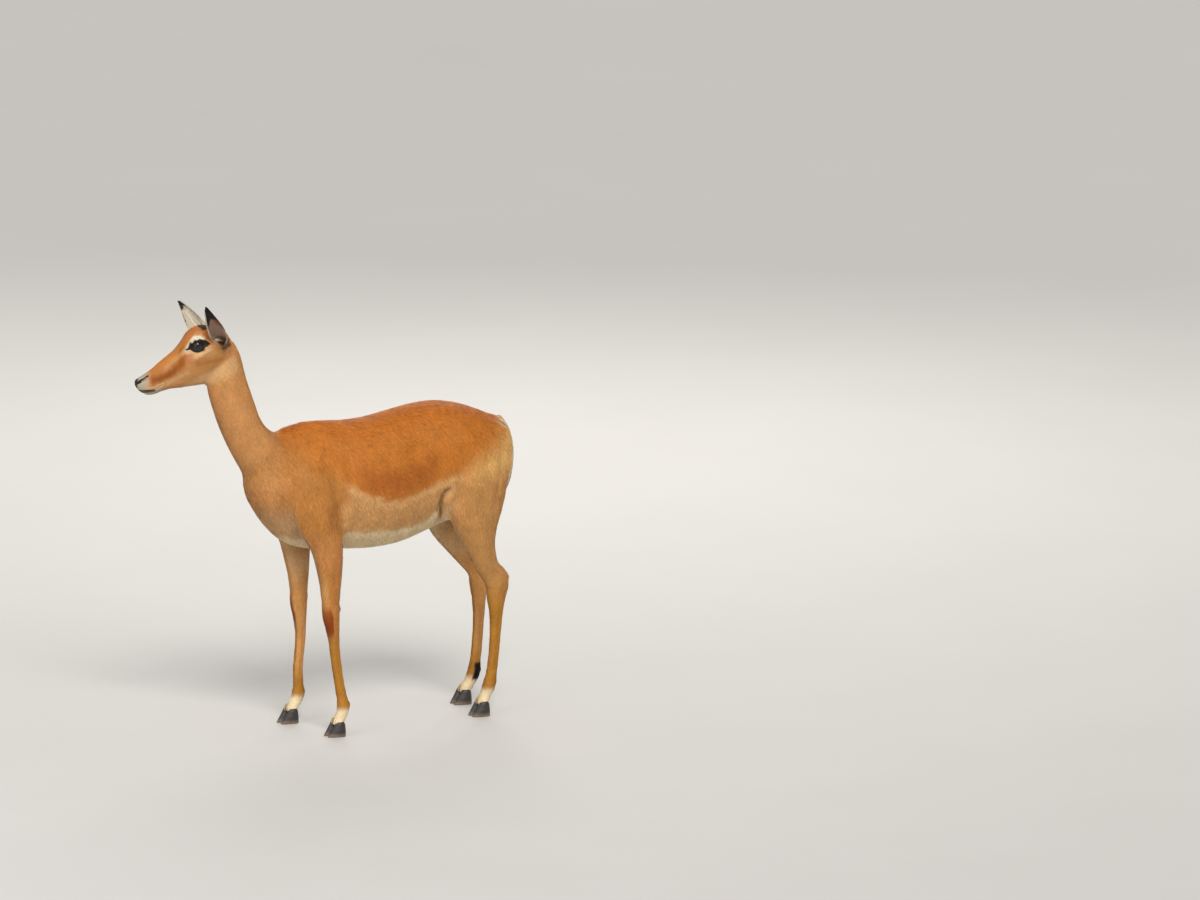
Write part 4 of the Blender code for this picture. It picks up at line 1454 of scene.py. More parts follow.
@dataclass
class Barber:
    """Grows tufts: thin leaves of three triangles, bent once, lying along the coat.

    Attributes:
        share_mid: share of a tuft's length at which it bends.
        taper: its width at the bend, as a share of its width at the root.
        sunk: how far a root is under the skin.
        patch: half the width of a tuft's patch on the bake map.
        blending: how far it is shaded like the skin under it, from 0 to 1.
    """

    share_mid: float = 0.5
    taper: float = 0.78
    sunk: float = 0.0003
    patch: float = 0.0015
    blending: float = 0.72

    def grow(
        self,
        name: str,
        roots: Array,
        normals: Array,
        lie: Array,
        hair: Hair,
        colours: Array,
        chart: Array,
        rng: Random,
        roll: float = 0.45,
    ) -> Object:
        """Grows one piece of coat.

        Args:
            name: its name.
            roots: where the tufts grow from.
            normals: directions out of the skin there.
            lie: directions that the coat lies in there.
            hair: lengths, widths and angles.
            colours: linear colours.
            chart: places of the roots on an unwrap of the skin, from 0 to 1.
            rng: the random numbers.
            roll: how far tufts turn about themselves, either way.

        Returns:
            The piece.
        """
        count = len(roots)
        along = unit(lie - normals * (lie * normals).sum(1, keepdims=True))
        side = np.cross(normals, along)
        turn = rng.uniform(-roll, roll, count)[:, None]
        side = side * np.cos(turn) + normals * np.sin(turn)
        leave = along * np.cos(hair.lift)[:, None] + normals * np.sin(hair.lift)[:, None]
        settle = along * np.cos(hair.settle)[:, None] + normals * np.sin(hair.settle)[:, None]
        half = side * (hair.width / 2)[:, None]
        length = hair.length[:, None]
        base = roots - normals * self.sunk
        middle = base + leave * length * self.share_mid
        tip = middle + settle * length * (1 - self.share_mid)
        bend = half * self.taper
        points = np.stack([base - half, base + half, middle + bend, middle - bend, tip], 1)
        first = np.arange(count, dtype=np.int32)[:, None] * 5
        faces = [first + np.array([[1, 0, 3, 2]]), first + np.array([[2, 3, 4]])]
        made = MeshMaker.make(name, points.reshape(-1, 3), faces)
        mesh = made.data
        MeshMaker.paint(mesh, "markings", np.repeat(colours, 5, axis=0))
        MeshMaker.note(mesh, "height", np.tile([0.0, 0.0, 0.5, 0.5, 1.0], count))
        MeshMaker.note(mesh, "tone", np.repeat(rng.random(count), 5))
        leaf = np.cross(leave, side)
        leaf *= np.sign((leaf * normals).sum(1, keepdims=True))
        shown = unit(normals * self.blending + leaf * (1 - self.blending))
        mesh.normals_split_custom_set_from_vertices(np.repeat(shown, 5, axis=0).tolist())
        self.chart_tufts(mesh, chart)
        return made

    def chart_tufts(self, mesh: Mesh, chart: Array) -> None:
        """Gives each tuft a small patch of the bake map round its root's place.

        Args:
            mesh: the tufts.
            chart: places of their roots on the map.
        """
        low, high = chart.min(0), chart.max(0)
        edge = 2 * self.patch
        middle = edge + (chart - low) / np.maximum(high - low, 1e-9) * (1 - 2 * edge)
        p = self.patch
        quad = np.array([(p, -p), (-p, -p), (-p * 0.8, 0), (p * 0.8, 0)])
        tip = np.array([(p * 0.8, 0), (-p * 0.8, 0), (0, p)])
        quads = (middle[:, None, :] + quad).reshape(-1, 2)
        tips = (middle[:, None, :] + tip).reshape(-1, 2)
        layer = mesh.uv_layers.new(name=BAKE_MAP)
        layer.data.foreach_set("uv", np.vstack([quads, tips]).astype(np.float32).ravel())


@dataclass
class Coat:
    """The short coat over the skin, in pieces by region.

    Attributes:
        skin: the skin that it grows on.
        markings: its colours.
        layers: how many tufts lie over each other, on average.
        most: most tufts of one piece.
        cover: share of its length times its width that a tuft covers.
        thinning: how soon tufts give out as the skin grows bare.
        lowest: height above the floor under which none grow.
        clear: how far roots keep from the eyeball.
        barber: what grows its tufts.
    """

    skin: Skin
    markings: Markings
    layers: float = 2.3
    most: int = 62000
    cover: float = 0.62
    thinning: float = 1.4
    lowest: float = 0.036
    clear: float = 0.0004
    barber: Barber = field(default_factory=Barber)

    def build(self) -> list[Object]:
        """Grows every region's piece.

        Returns:
            The pieces.
        """
        mesh = self.skin.made.data
        points, normals = MeshMaker.points(mesh), MeshMaker.normals(mesh)
        corners = MeshMaker.triangles(mesh)
        middles = points[corners].mean(1)
        one, two, three = (points[corners[:, k]] for k in range(3))
        area = np.linalg.norm(np.cross(two - one, three - one), axis=1) / 2
        regions = self.regions(middles)
        hair = self.hair(middles, None)
        wanted = self.layers * area / (hair.length * hair.width * self.cover)
        pieces = []
        for k, region in enumerate(Region):
            mine = np.flatnonzero(regions == k)
            rng = np.random.default_rng(COAT_SEED + k)
            weight = wanted[mine]
            count = min(int(weight.sum()), self.most)
            picks = (np.arange(count) + rng.random(count)) / count * weight.sum()
            chosen = mine[np.minimum(np.searchsorted(np.cumsum(weight), picks), len(mine) - 1)]
            pieces.append(self.grow(region, points, normals, corners[chosen], rng))
        return pieces

    def dress(self, hair: Material) -> None:
        """Builds the coat and puts its material on."""
        for piece in self.build():
            settle(piece, hair, "coat")

    def grow(
        self, region: Region, points: Array, normals: Array, corners: Array, rng: Random
    ) -> Object:
        """Grows the coat of one region.

        Args:
            region: the region.
            points: points of the skin.
            normals: directions outwards there.
            corners: triangles of the skin, one for each tuft.
            rng: the random numbers.

        Returns:
            The piece.
        """
        u, v = rng.random((2, len(corners)))
        fold = u + v > 1
        u[fold], v[fold] = 1 - u[fold], 1 - v[fold]
        share = np.column_stack([1 - u - v, u, v])[:, :, None]
        roots = (points[corners] * share).sum(1)
        out = unit((normals[corners] * share).sum(1))
        colours, bare = self.markings.paint(roots, out)
        keep = rng.random(len(roots)) > bare * self.thinning
        keep &= (roots[:, 2] > self.lowest) & (Skin.to_eye(roots) > EYE_RADIUS + self.clear)
        roots, out, colours = roots[keep], out[keep], colours[keep]
        hair = self.hair(roots, rng)
        return self.barber.grow(
            region.value, roots, out, self.lie(roots, out), hair, colours, self.chart(region, roots), rng
        )

    @staticmethod
    def regions(points: Array) -> Array:
        """Sorts points into regions.

        Args:
            points: the points.

        Returns:
            The number of each point's region.
        """
        place, local = BODY.local(points), HEAD.local(points)
        number = {region: k for k, region in enumerate(Region)}
        ahead, left, up = place.T
        found = np.select(
            [ahead > SHOULDERS_FROM, ahead > RIBS_FROM, ahead > LOINS_FROM],
            [number[Region.SHOULDERS], number[Region.RIBS], number[Region.LOINS]],
            number[Region.RUMP],
        )
        thigh = (ahead < LOINS_FROM) & (up < THIGH_TOP)
        found[thigh & (left > 0)] = number[Region.THIGH_LEFT]
        found[thigh & (left <= 0)] = number[Region.THIGH_RIGHT]
        found[up_the_neck(ahead, up) > 0] = number[Region.NECK]
        for end in End:
            for side in Side:
                leg = Skin.leg_mask(place, end, side) & (up < LEG_TOPS[end])
                found[leg] = number[Region[f"{end.name}_{side.name}"]]
        head = Skin.is_head(points) & (local[:, 0] > CROWN_FROM)
        found[head] = np.where(local[head, 0] > FACE_FROM, number[Region.FACE], number[Region.CROWN])
        return found

    @staticmethod
    def hair(points: Array, rng: Random | None) -> Hair:
        """How the coat grows at some places.

        Args:
            points: the places.
            rng: the random numbers, or none for the average.

        Returns:
            Lengths, widths and angles.
        """
        place, local = BODY.local(points), on_left(HEAD.local(points))
        ahead, _, up = place.T
        length = through(((0.03, 0.0055), (0.1, 0.006), (0.3, 0.0065), (0.42, 0.0085), (0.54, 0.0125)), up)
        neck = ease(0.0, 0.05, up_the_neck(ahead, up))
        length = length + (0.01 - length) * neck
        head = Skin.is_head(points) * ease(-0.085, -0.05, local[:, 0]) * ease(-0.125, -0.1, local[:, 2])
        knots = ((-0.05, 0.0068), (0.02, 0.0046), (0.12, 0.0038), (0.17, 0.0022), (0.19, 0.0016))
        length = length + (through(knots, local[:, 0]) - length) * head
        ruff = bell(np.linalg.norm(local - (-0.062, 0.047, -0.014), axis=1), 0.019)
        length = length * (1 + 1.1 * ruff)
        lift = np.radians(9.0 + 12.0 * ruff)
        belly = (up < 0.52) & (up > LOWER_LEG_TOP) & (np.abs(place[:, 1]) < 0.1)
        lift = lift + math.radians(5) * belly
        gland = (ahead < 0) * ((up > 0.066) & (up < 0.11))
        width = 0.00028 + 0.075 * length
        if rng is not None:
            length = length * rng.uniform(0.72, 1.22, len(points))
            width = width * rng.uniform(0.75, 1.2, len(points))
            lift = lift * rng.uniform(0.45, 1.5, len(points))
            lift = lift + math.radians(12) * gland * (rng.random(len(points)) < 0.5)
        return Hair(length, width, lift, lift * 0.25)

    def bones(self) -> list[Array]:
        """Draws the lines that the coat lies along, each from its start to its end.

        Returns:
            Their corners, in the world.
        """
        lines = [
            HEAD.place([(0.186, 0, -0.045), (0.1, 0, -0.045), (-0.085, 0, -0.035)]),
            BODY.place([(0.541, -0.027, 1.06), (0.515, -0.017, 0.96), (0.458, 0, 0.82), (0.38, 0, 0.7)]),
            BODY.place([(0.38, 0, 0.7), (0.1, 0, 0.66), (-0.3, 0, 0.69)]),
        ]
        tops = {End.FORE: [(0.3, 0.075, 0.7)], End.HIND: [(-0.165, 0.066, 0.69), (-0.18, 0.075, 0.6)]}
        for (end, side), rows in self.skin.legs.items():
            top = [(a, b * side.value, h) for a, b, h in tops[end]]
            leg = [(a, b, h) for h, a, b in rows[::-4]]
            lines.append(BODY.place(top + leg + [tuple(rows[0][[1, 2, 0]])]))
        return lines

    def lie(self, points: Array, normals: Array) -> Array:
        """Directions that the coat lies in at points of the skin.

        Args:
            points: the points.
            normals: directions outwards there.

        Returns:
            The directions.
        """
        total = np.zeros_like(points)
        for line in self.bones():
            for start, end in zip(line, line[1:], strict=False):
                distance, _ = to_line(points, np.array([start, end]))
                total += unit(end - start) / (distance**3 + 1e-6)[:, None]
        way = unit(total)
        side = np.abs(normals @ BODY.left)
        trunk = ease(0.44, 0.52, points[:, 2]) * ease(1.0, 0.9, points[:, 2])
        way = way - BODY.up * (0.38 * side * trunk)[:, None]
        wave = 0.1 * ripple(points, 0.035, 9) + 0.05 * ripple(points, 0.01, 10)
        return way + np.cross(normals, way) * wave[:, None]

    def chart(self, region: Region, points: Array) -> Array:
        """Unwraps a region's skin round the bone in it.

        Args:
            region: the region.
            points: places on its skin.

        Returns:
            Places on the flat.
        """
        lines = self.bones()
        kind, _, side = region.name.partition("_")
        if side:
            leg = (End.FORE if kind == End.FORE.name else End.HIND, Side[side])
            line = lines[3 + list(self.skin.legs).index(leg)]
            up, ahead = BODY.left * leg[1].value, BODY.ahead
        elif region in (Region.FACE, Region.CROWN):
            line, up, ahead = lines[0], HEAD.up, HEAD.left
        elif region is Region.NECK:
            line, up, ahead = lines[1], -BODY.ahead, BODY.left
        else:
            line, up, ahead = lines[2], BODY.up, BODY.left
        corners = np.linspace(0, 1, 40)
        knots = np.linspace(0, 1, len(line))
        dense = rows_at(knots, line, corners)
        _, share = to_line(points, dense)
        away = points - rows_at(corners, dense, share)
        return np.column_stack([np.arctan2(away @ ahead, away @ up), share])


# Rows of an ear, from its root to its tip: share of its length, reach to the front edge, reach to the rear
# edge, and half the angle that the leaf is rolled through
EAR_ROWS = (
    (-0.2, 0.026, 0.045, 2.95),
    (-0.1, 0.029, 0.064, 2.85),
    (0.0, 0.03, 0.066, 2.6),
    (0.12, 0.0275, 0.057, 2.05),
    (0.28, 0.0215, 0.04, 1.3),
    (0.44, 0.019, 0.034, 1.02),
    (0.6, 0.0155, 0.0248, 0.88),
    (0.76, 0.011, 0.0145, 0.72),
    (0.9, 0.0064, 0.0068, 0.52),
    (1.0, 0.0015, 0.0015, 0.3),
)


@dataclass
class Ear:
    """An ear: a thin cupped leaf, with short hair behind and long pale hair inside.

    Attributes:
        side: which ear it is.
        lean: direction along it, on the head's axes.
        opening: direction out of its opening, on the head's axes.
        root: where it leaves the head, on the head's axes.
        length: its length.
        thick: how thick the leaf is.
        back_tufts: how many tufts its back has.
        ridges: where across the leaf the ridges inside stand, from -1 at its front edge to 1.
        pale: how white the hair inside is, from 0 to 1; below 1 the inside keeps its painted shade instead.
        barber: what grows its hair.
        rows: EAR_ROWS on a smooth curve.
    """

    side: Side
    lean: Row
    opening: Row
    root: Row = (-0.058, 0.044, -0.01)
    length: float = 0.1378
    thick: float = 0.0022
    back_tufts: int = 11000
    ridges: tuple[float, ...] = (-0.62, -0.28, 0.06, 0.4, 0.7)
    pale: float = 1.0
    barber: Barber = field(default_factory=Barber)
    rows: Array = field(default_factory=lambda: smoothed(EAR_ROWS, 8), repr=False)

    def __post_init__(self) -> None:
        """Settles the ear's own directions."""
        sign = (1, self.side.value, 1)
        self.start = HEAD.place(np.array(self.root) * sign)
        self.along = unit(HEAD.direction(np.array(self.lean) * sign))
        out = HEAD.direction(np.array(self.opening) * sign)
        self.out = unit(out - self.along * (out @ self.along))
        self.behind = np.cross(self.along, self.out) * self.side.value

    def leaf(self, share: Array, turn: Array) -> Array:
        """Points on the leaf.

        Args:
            share: shares of the ear's length.
            turn: places across it, from -1 at its front edge to 1.

        Returns:
            World points.
        """
        before, after, curl = rows_at(self.rows[:, 0], self.rows[:, 1:], share).T
        rim = 1 - 0.012 * np.sin(share * 40) ** 2 * np.abs(turn) ** 6
        radius = np.where(turn < 0, before, after) / curl * rim
        sideways = radius * np.sin(turn * curl)
        flat = through(((-0.2, 0.45), (0.1, 0.6), (0.32, 1.0)), share)
        inward = radius * (1 - np.cos(turn * curl)) * flat
        inward = inward - 0.1 * after * ease(0.55, 1.0, turn) * bell(share - 0.18, 0.12)
        place = self.start + np.outer(self.length * share, self.along)
        return place + np.outer(sideways, self.behind) + np.outer(inward, self.out)

    def inward(self, share: Array, turn: Array) -> Array:
        """Directions off the leaf, into its hollow.

        Args:
            share: shares of the ear's length.
            turn: places across it.

        Returns:
            Unit directions.
        """
        step = 0.004
        across = self.leaf(share, turn + step) - self.leaf(share, turn - step)
        upward = self.leaf(share + step, turn) - self.leaf(share - step, turn)
        normal = unit(np.cross(upward, across))
        hollow = self.out - np.outer(np.sin(turn), self.behind) * 0.8
        return normal * np.sign((normal * hollow).sum(1, keepdims=True))

    def build(self) -> list[Object]:
        """Builds the leaf and its hair.

        Returns:
            The pieces, the leaf first.
        """
        word = self.side.word
        pieces = [self.build_leaf(f"ear_leaf_{word}"), self.build_back(f"coat_ear_{word}")]
        return [*pieces, self.build_inside(f"ear_down_{word}")]

    def dress(self, leather: Material, hair: Material) -> None:
        """Builds the ear and puts its materials on.

        Args:
            leather: the leaf's material.
            hair: its hair's.
        """
        leaf, *down = self.build()
        settle(leaf, leather, "ear", f"ear_{self.side.word}")
        for piece in down:
            settle(piece, hair, "ear")

    def build_leaf(self, name: str) -> Object:
        """Builds the leaf itself, closed, with ridges inside.

        Args:
            name: its name.

        Returns:
            The leaf.
        """
        shares, turns = np.linspace(-0.19, 0.995, 84), np.sin(np.linspace(-math.pi / 2, math.pi / 2, 49))
        share, turn = pairs_of(shares, turns)
        middle, inward = self.leaf(share, turn), self.inward(share, turn)
        half = self.thick / 2 * np.sqrt(np.clip(1 - 0.92 * np.abs(turn) ** 5, 0, 1)) * (1.1 - 0.5 * share)
        ridge = sum(bell(turn - at * (1 - 0.3 * share), 0.09) for at in self.ridges)
        ridge = 0.0009 * ridge * ease(0.9, 0.6, share) * ease(0.0, 0.15, share)
        inside = middle + inward * (half + ridge)[:, None]
        outside = middle - inward * half[:, None]
        rows, columns = len(shares), len(turns)
        faces = grid_faces(rows, columns)
        total = rows * columns
        numbers = np.arange(total).reshape(rows, columns)
        rim = np.concatenate([numbers[:, 0], numbers[-1, 1:], numbers[-2::-1, -1], numbers[0, -2:0:-1]])
        after = np.roll(rim, -1)
        edge = np.column_stack([rim, after, after + total, rim + total])
        points = np.vstack([inside, outside])
        made = MeshMaker.make(name, points, [faces, faces[:, ::-1] + total, edge])
        MeshMaker.face_out(made)
        within = np.repeat([True, False], total)
        colours = self.colours(np.tile(share, 2), np.tile(turn, 2), within, points)
        MeshMaker.paint(made.data, "markings", colours * np.where(within, 0.85, 0.9)[:, None])
        MeshMaker.note(made.data, "bare", within * 0.6)
        return made

    def colours(self, share: Array, turn: Array, within: Array, points: Array) -> Array:
        """Colours of the ear's hair and skin, with painted shade inside it and round its root.

        Args:
            share: shares of the ear's length.
            turn: places across it.
            within: whether each place is inside.
            points: the places themselves.

        Returns:
            Linear colours on rows.
        """
        share = share + 0.012 * ripple(points, 0.012, 30)
        turn = turn + 0.03 * ripple(points, 0.01, 31)
        # the inside starts in painted shade; white down covers it where the ear is pale
        colours = np.where(within[:, None], Tint.TAUPE.colour, Tint.EAR_BACK.colour)
        lay = partial(Markings.lay, colours)
        # the second share is how far the inside stays in painted shade, where its hair is not white
        back, shaded_inside = 1.0 - within, within * (1.0 - self.pale)
        lay(Tint.CREAM, 0.8 * back * ease(0.8, 0.95, turn) * ease(0.62, 0.5, share))
        low = back * ease(0.16, 0.08, share)
        # painted shade at the rear of the ear's root, behind
        lay(Tint.LOBE, 0.8 * low * ease(0.3, 0.55, turn))
        lay(Tint.CREAM, 0.9 * low * ease(-0.45, -0.65, turn))
        lay(Tint.RUST, 0.6 * back * ease(0.5, 0.75, share) * ease(0.1, 0.6, turn))
        lay(Tint.DOWN, 0.9 * within * self.pale * ease(0.05, 0.15, share))
        lay(Tint.LEATHER, 0.55 * within * self.pale * bell(turn + 0.74, 0.07))
        lay(Tint.RUST, 0.8 * shaded_inside * ease(0.4, 0.56, share) * ease(0.0, 0.5, turn))
        shade = share - through(((-1, 0.36), (-0.6, 0.5), (0.0, 0.64), (1.0, 0.6)), turn)
        lay(Tint.BLACK, shaded_inside * ease(-0.03, 0.04, shade))
        lay(Tint.CREAM, 0.85 * shaded_inside * ease(0.66, 0.88, turn) * ease(0.44, 0.34, share))
        # painted shade in the lower lobe inside the ear
        lay(Tint.LOBE, 0.85 * within * ease(0.17, 0.08, share) * ease(-0.35, 0.0, turn))
        lay(Tint.BLACK, 0.85 * within * ease(0.9, 0.97, turn) * ease(0.4, 0.55, share))
        lay(Tint.WHITE, 0.95 * ease(-0.86, -0.95, turn) * ease(0.93, 0.86, share))
        lay(Tint.BLACK, ease(0.79, 0.86, share + 0.05 * np.abs(turn)) * ease(-0.98, -0.9, turn))
        return colours

    def build_back(self, name: str) -> Object:
        """Grows the short hair behind the ear.

        Args:
            name: its name.

        Returns:
            The hair.
        """
        rng = np.random.default_rng(COAT_SEED + 40 + self.side.value)
        share, turn = self.scatter(rng, self.back_tufts)
        inward = self.inward(share, turn)
        roots = self.leaf(share, turn) - inward * (self.thick * 0.42 * (1.1 - 0.5 * share))[:, None]
        colours = self.colours(share, turn, np.zeros(len(share), bool), roots)
        length = 0.0062 * rng.uniform(0.7, 1.2, len(share)) * (1 - 0.35 * ease(0.85, 1, share))
        return self.comb(name, roots, -inward, share, turn, length, 0.00072, colours, rng, 8)

    def build_inside(self, name: str) -> Object:
        """Grows the long hair in rows along the ridges and edges inside, and the short down.

        Args:
            name: its name.

        Returns:
            The hair.
        """
        rng = np.random.default_rng(COAT_SEED + 50 + self.side.value)
        parts = []
        down, across = self.scatter(rng, 5200)
        parts.append((down, across, np.full(len(down), 0.0045), 0))
        for row, at in enumerate((-0.93, *self.ridges[:-1], 0.95)):
            edge = abs(at) > 0.9
            count = 620 if edge else int(520 * self.pale)
            share = rng.uniform(0.05, 0.8 if edge else 0.7, count)
            turn = np.clip(at * (1 if edge else 1 - 0.3 * share) + rng.normal(0, 0.025, count), -0.99, 0.99)
            long = (0.01 if edge else 0.0135) * (1.1 - 0.75 * share)
            parts.append((share, turn, long, 1 if row < 5 else 2))
        share, turn, length, kind = (
            np.concatenate([np.broadcast_to(part[k], part[0].shape) for part in parts]) for k in range(4)
        )
        inward = self.inward(share, turn)
        roots = self.leaf(share, turn) + inward * (self.thick * 0.42 * (1.1 - 0.5 * share))[:, None]
        colours = self.colours(share, turn, np.ones(len(share), bool), roots)
        lay = partial(Markings.lay, colours)
        lay(Tint.WHITE, 0.92 * (kind == 1) * ease(0.84, 0.74, share))
        lay(Tint.CREAM, 0.7 * (kind == 2) * ease(0.5, 0.3, share))
        streak = ease(0.03, 0.06, share) * ease(0.16, 0.12, share) * ease(-0.1, -0.25, turn)
        lay(Tint.WHITE, streak)
        length = length * rng.uniform(0.6, 1.2, len(share))
        return self.comb(name, roots, inward, share, turn, length, 0.00058, colours, rng, 14)

    def scatter(self, rng: Random, count: int) -> tuple[Array, Array]:
        """Spreads random places evenly over the leaf.

        Args:
            rng: the random numbers.
            count: how many places there are.

        Returns:
            Shares of the ear's length, and places across it.
        """
        share, turn = rng.uniform(-0.12, 0.985, count * 2), rng.uniform(-0.985, 0.985, count * 2)
        before, after = rows_at(self.rows[:, 0], self.rows[:, 1:3], share).T
        keep = rng.random(count * 2) < np.where(turn < 0, before, after) / 0.0385
        return share[keep][:count], turn[keep][:count]

    def comb(
        self,
        name: str,
        roots: Array,
        normals: Array,
        share: Array,
        turn: Array,
        length: Array,
        width: float,
        colours: Array,
        rng: Random,
        lift: float,
    ) -> Object:
        """Grows hair that lies towards the ear's tip, and a little off its edges.

        Args:
            name: its name.
            roots: where it grows from.
            normals: directions out of the skin there.
            share: shares of the ear's length.
            turn: places across it.
            length: length of each hair.
            width: about how wide each is.
            colours: linear colours.
            rng: the random numbers.
            lift: about how many degrees it stands off the skin.

        Returns:
            The hair.
        """
        step = 0.006
        upward = unit(self.leaf(share + step, turn) - self.leaf(share - step, turn))
        across = unit(self.leaf(share, turn + step) - self.leaf(share, turn - step))
        fan = 0.35 * turn**3 + 0.12 * rng.normal(size=len(turn))
        raised = np.radians(lift) * rng.uniform(0.5, 1.6, len(share))
        hair = Hair(length, width * rng.uniform(0.7, 1.2, len(share)), raised, raised * 0.4)
        chart, lie = np.column_stack([turn, share]), upward + across * fan[:, None]
        return self.barber.grow(name, roots, normals, lie, hair, colours, chart, rng)


# Rows of the tail, from its root down: ahead, left, up, reach backwards, reach forwards, half width
TAIL_ROWS = (
    (-0.297, 0, 0.786, 0.013, 0.012, 0.021),
    (-0.317, 0, 0.751, 0.013, 0.011, 0.019),
    (-0.325, 0, 0.7, 0.011, 0.01, 0.018),
    (-0.314, 0, 0.64, 0.01, 0.009, 0.02),
    (-0.298, 0, 0.575, 0.01, 0.009, 0.021),
    (-0.285, 0, 0.515, 0.009, 0.008, 0.018),
    (-0.277, 0, 0.478, 0.005, 0.005, 0.01),
)


@dataclass
class Tail:
    """The tail: a slim dock, and long hair that falls from it.

    Attributes:
        dock_end: share of the tail's line at which the dock ends.
        dock: half widths of the dock, as shares of the tail's own.
        tufts: how many tufts it has.
        longest: length of its longest hair.
        barber: what grows its hair.
        rows: TAIL_ROWS on a smooth curve.
    """

    dock_end: float = 0.8
    dock: float = 0.52
    tufts: int = 21000
    longest: float = 0.058
    barber: Barber = field(default_factory=lambda: Barber(taper=0.85))
    rows: Array = field(default_factory=lambda: smoothed(TAIL_ROWS, 8), repr=False)

    def at(self, share: Array, turn: Array, size: Array | float) -> tuple[Array, Array, Array]:
        """Points round the tail's line.

        Args:
            share: shares of the tail's line.
            turn: angles round it, 0 at the back and rising to the left.
            size: distances from the line, as shares of the tail's reaches.

        Returns:
            The points, the directions outwards and the directions down the tail there.
        """
        at = np.asarray(share) * (len(self.rows) - 1)
        knots = np.arange(len(self.rows))
        row = rows_at(knots, self.rows, at)
        down = unit(rows_at(knots, np.gradient(self.rows[:, :3], axis=0), at))
        back = unit(np.array([-1.0, 0, 0]) - down * down[:, :1] * -1)
        side = np.cross(down, back)
        reach = np.where(np.cos(turn) > 0, row[:, 3], row[:, 4])
        out = back * (np.cos(turn) * reach)[:, None] + side * (np.sin(turn) * row[:, 5])[:, None]
        size = np.broadcast_to(size, at.shape)[:, None]
        return BODY.place(row[:, :3] + out * size), BODY.direction(unit(out)), BODY.direction(down)

    def build(self) -> list[Object]:
        """Builds the dock and its hair."""
        return [self.build_dock(), self.build_hair()]

    def dress(self, leather: Material, hair: Material) -> None:
        """Builds the tail and puts its materials on.

        Args:
            leather: the dock's material.
            hair: its hair's.
        """
        dock, fall = self.build()
        settle(dock, leather, "tail", "tail")
        settle(fall, hair, "tail")

    def build_dock(self) -> Object:
        """Builds the dock, rounded at its end.

        Returns:
            The dock.
        """
        shares = np.linspace(0.0, self.dock_end, 60)
        turns = np.linspace(0, 2 * math.pi, 28, endpoint=False)
        share, turn = pairs_of(shares, turns)
        size = self.dock * np.sqrt(np.clip(1 - (share / self.dock_end) ** 5, 0.0, 1)) + 0.01
        points, _, _ = self.at(share, turn, size)
        made = tube("tail_dock", points, len(turns))
        MeshMaker.paint(made.data, "markings", self.colours(share, turn, points) * 0.8)
        MeshMaker.note(made.data, "bare", np.zeros(len(points)))
        return made

    @staticmethod
    def colours(share: Array, turn: Array, points: Array) -> Array:
        """Colours of the tail: white, tan at its root, with a black line down its back.

        Args:
            share: shares of the tail's line.
            turn: angles round it.
            points: the places themselves.

        Returns:
            Linear colours on rows.
        """
        turn = (turn + math.pi) % (2 * math.pi) - math.pi
        turn = turn + 0.15 * ripple(points, 0.02, 60)
        colours = np.tile(Tint.WHITE.colour, (len(points), 1))
        lay = partial(Markings.lay, colours)
        lay(Tint.HAUNCH, ease(0.16, 0.03, share))
        lay(Tint.PALE_LINE, 0.75 * ease(0.6, 0.2, share))
        lay(Tint.BLACK, ease(0.85, 0.5, np.abs(turn)) * ease(0.06, 0.16, share) * 0.95)
        return colours

    def build_hair(self) -> Object:
        """Grows the hair, longer towards the end and at the sides.

        Returns:
            The hair.
        """
        rng = np.random.default_rng(COAT_SEED + 60)
        share = rng.uniform(0.0, self.dock_end * 0.985, self.tufts)
        turn = rng.uniform(0, 2 * math.pi, self.tufts)
        size = self.dock * np.sqrt(np.clip(1 - (share / self.dock_end) ** 5, 0.0, 1))
        roots, out, down = self.at(share, turn, size)
        length = through(((0.0, 0.012), (0.1, 0.022), (0.3, 0.034), (0.8, self.longest)), share)
        length *= rng.uniform(0.65, 1.08, self.tufts)
        end = through(((0.6, 1.0), (0.8, 0.78)), share)
        raised = np.radians(through(((0.0, 10.0), (0.3, 13.0), (0.8, 9.0)), share))
        raised = raised * rng.uniform(0.4, 1.4, self.tufts)
        hair = Hair(length * end, 0.00105 * rng.uniform(0.6, 1.2, self.tufts), raised, raised * -0.2)
        sway = np.cross(out, down) * (0.1 * rng.normal(size=self.tufts))[:, None]
        chart = np.column_stack([turn, share])
        colours = self.colours(share, turn, roots)
        return self.barber.grow("coat_tail", roots, out, down + sway, hair, colours, chart, rng, roll=0.7)


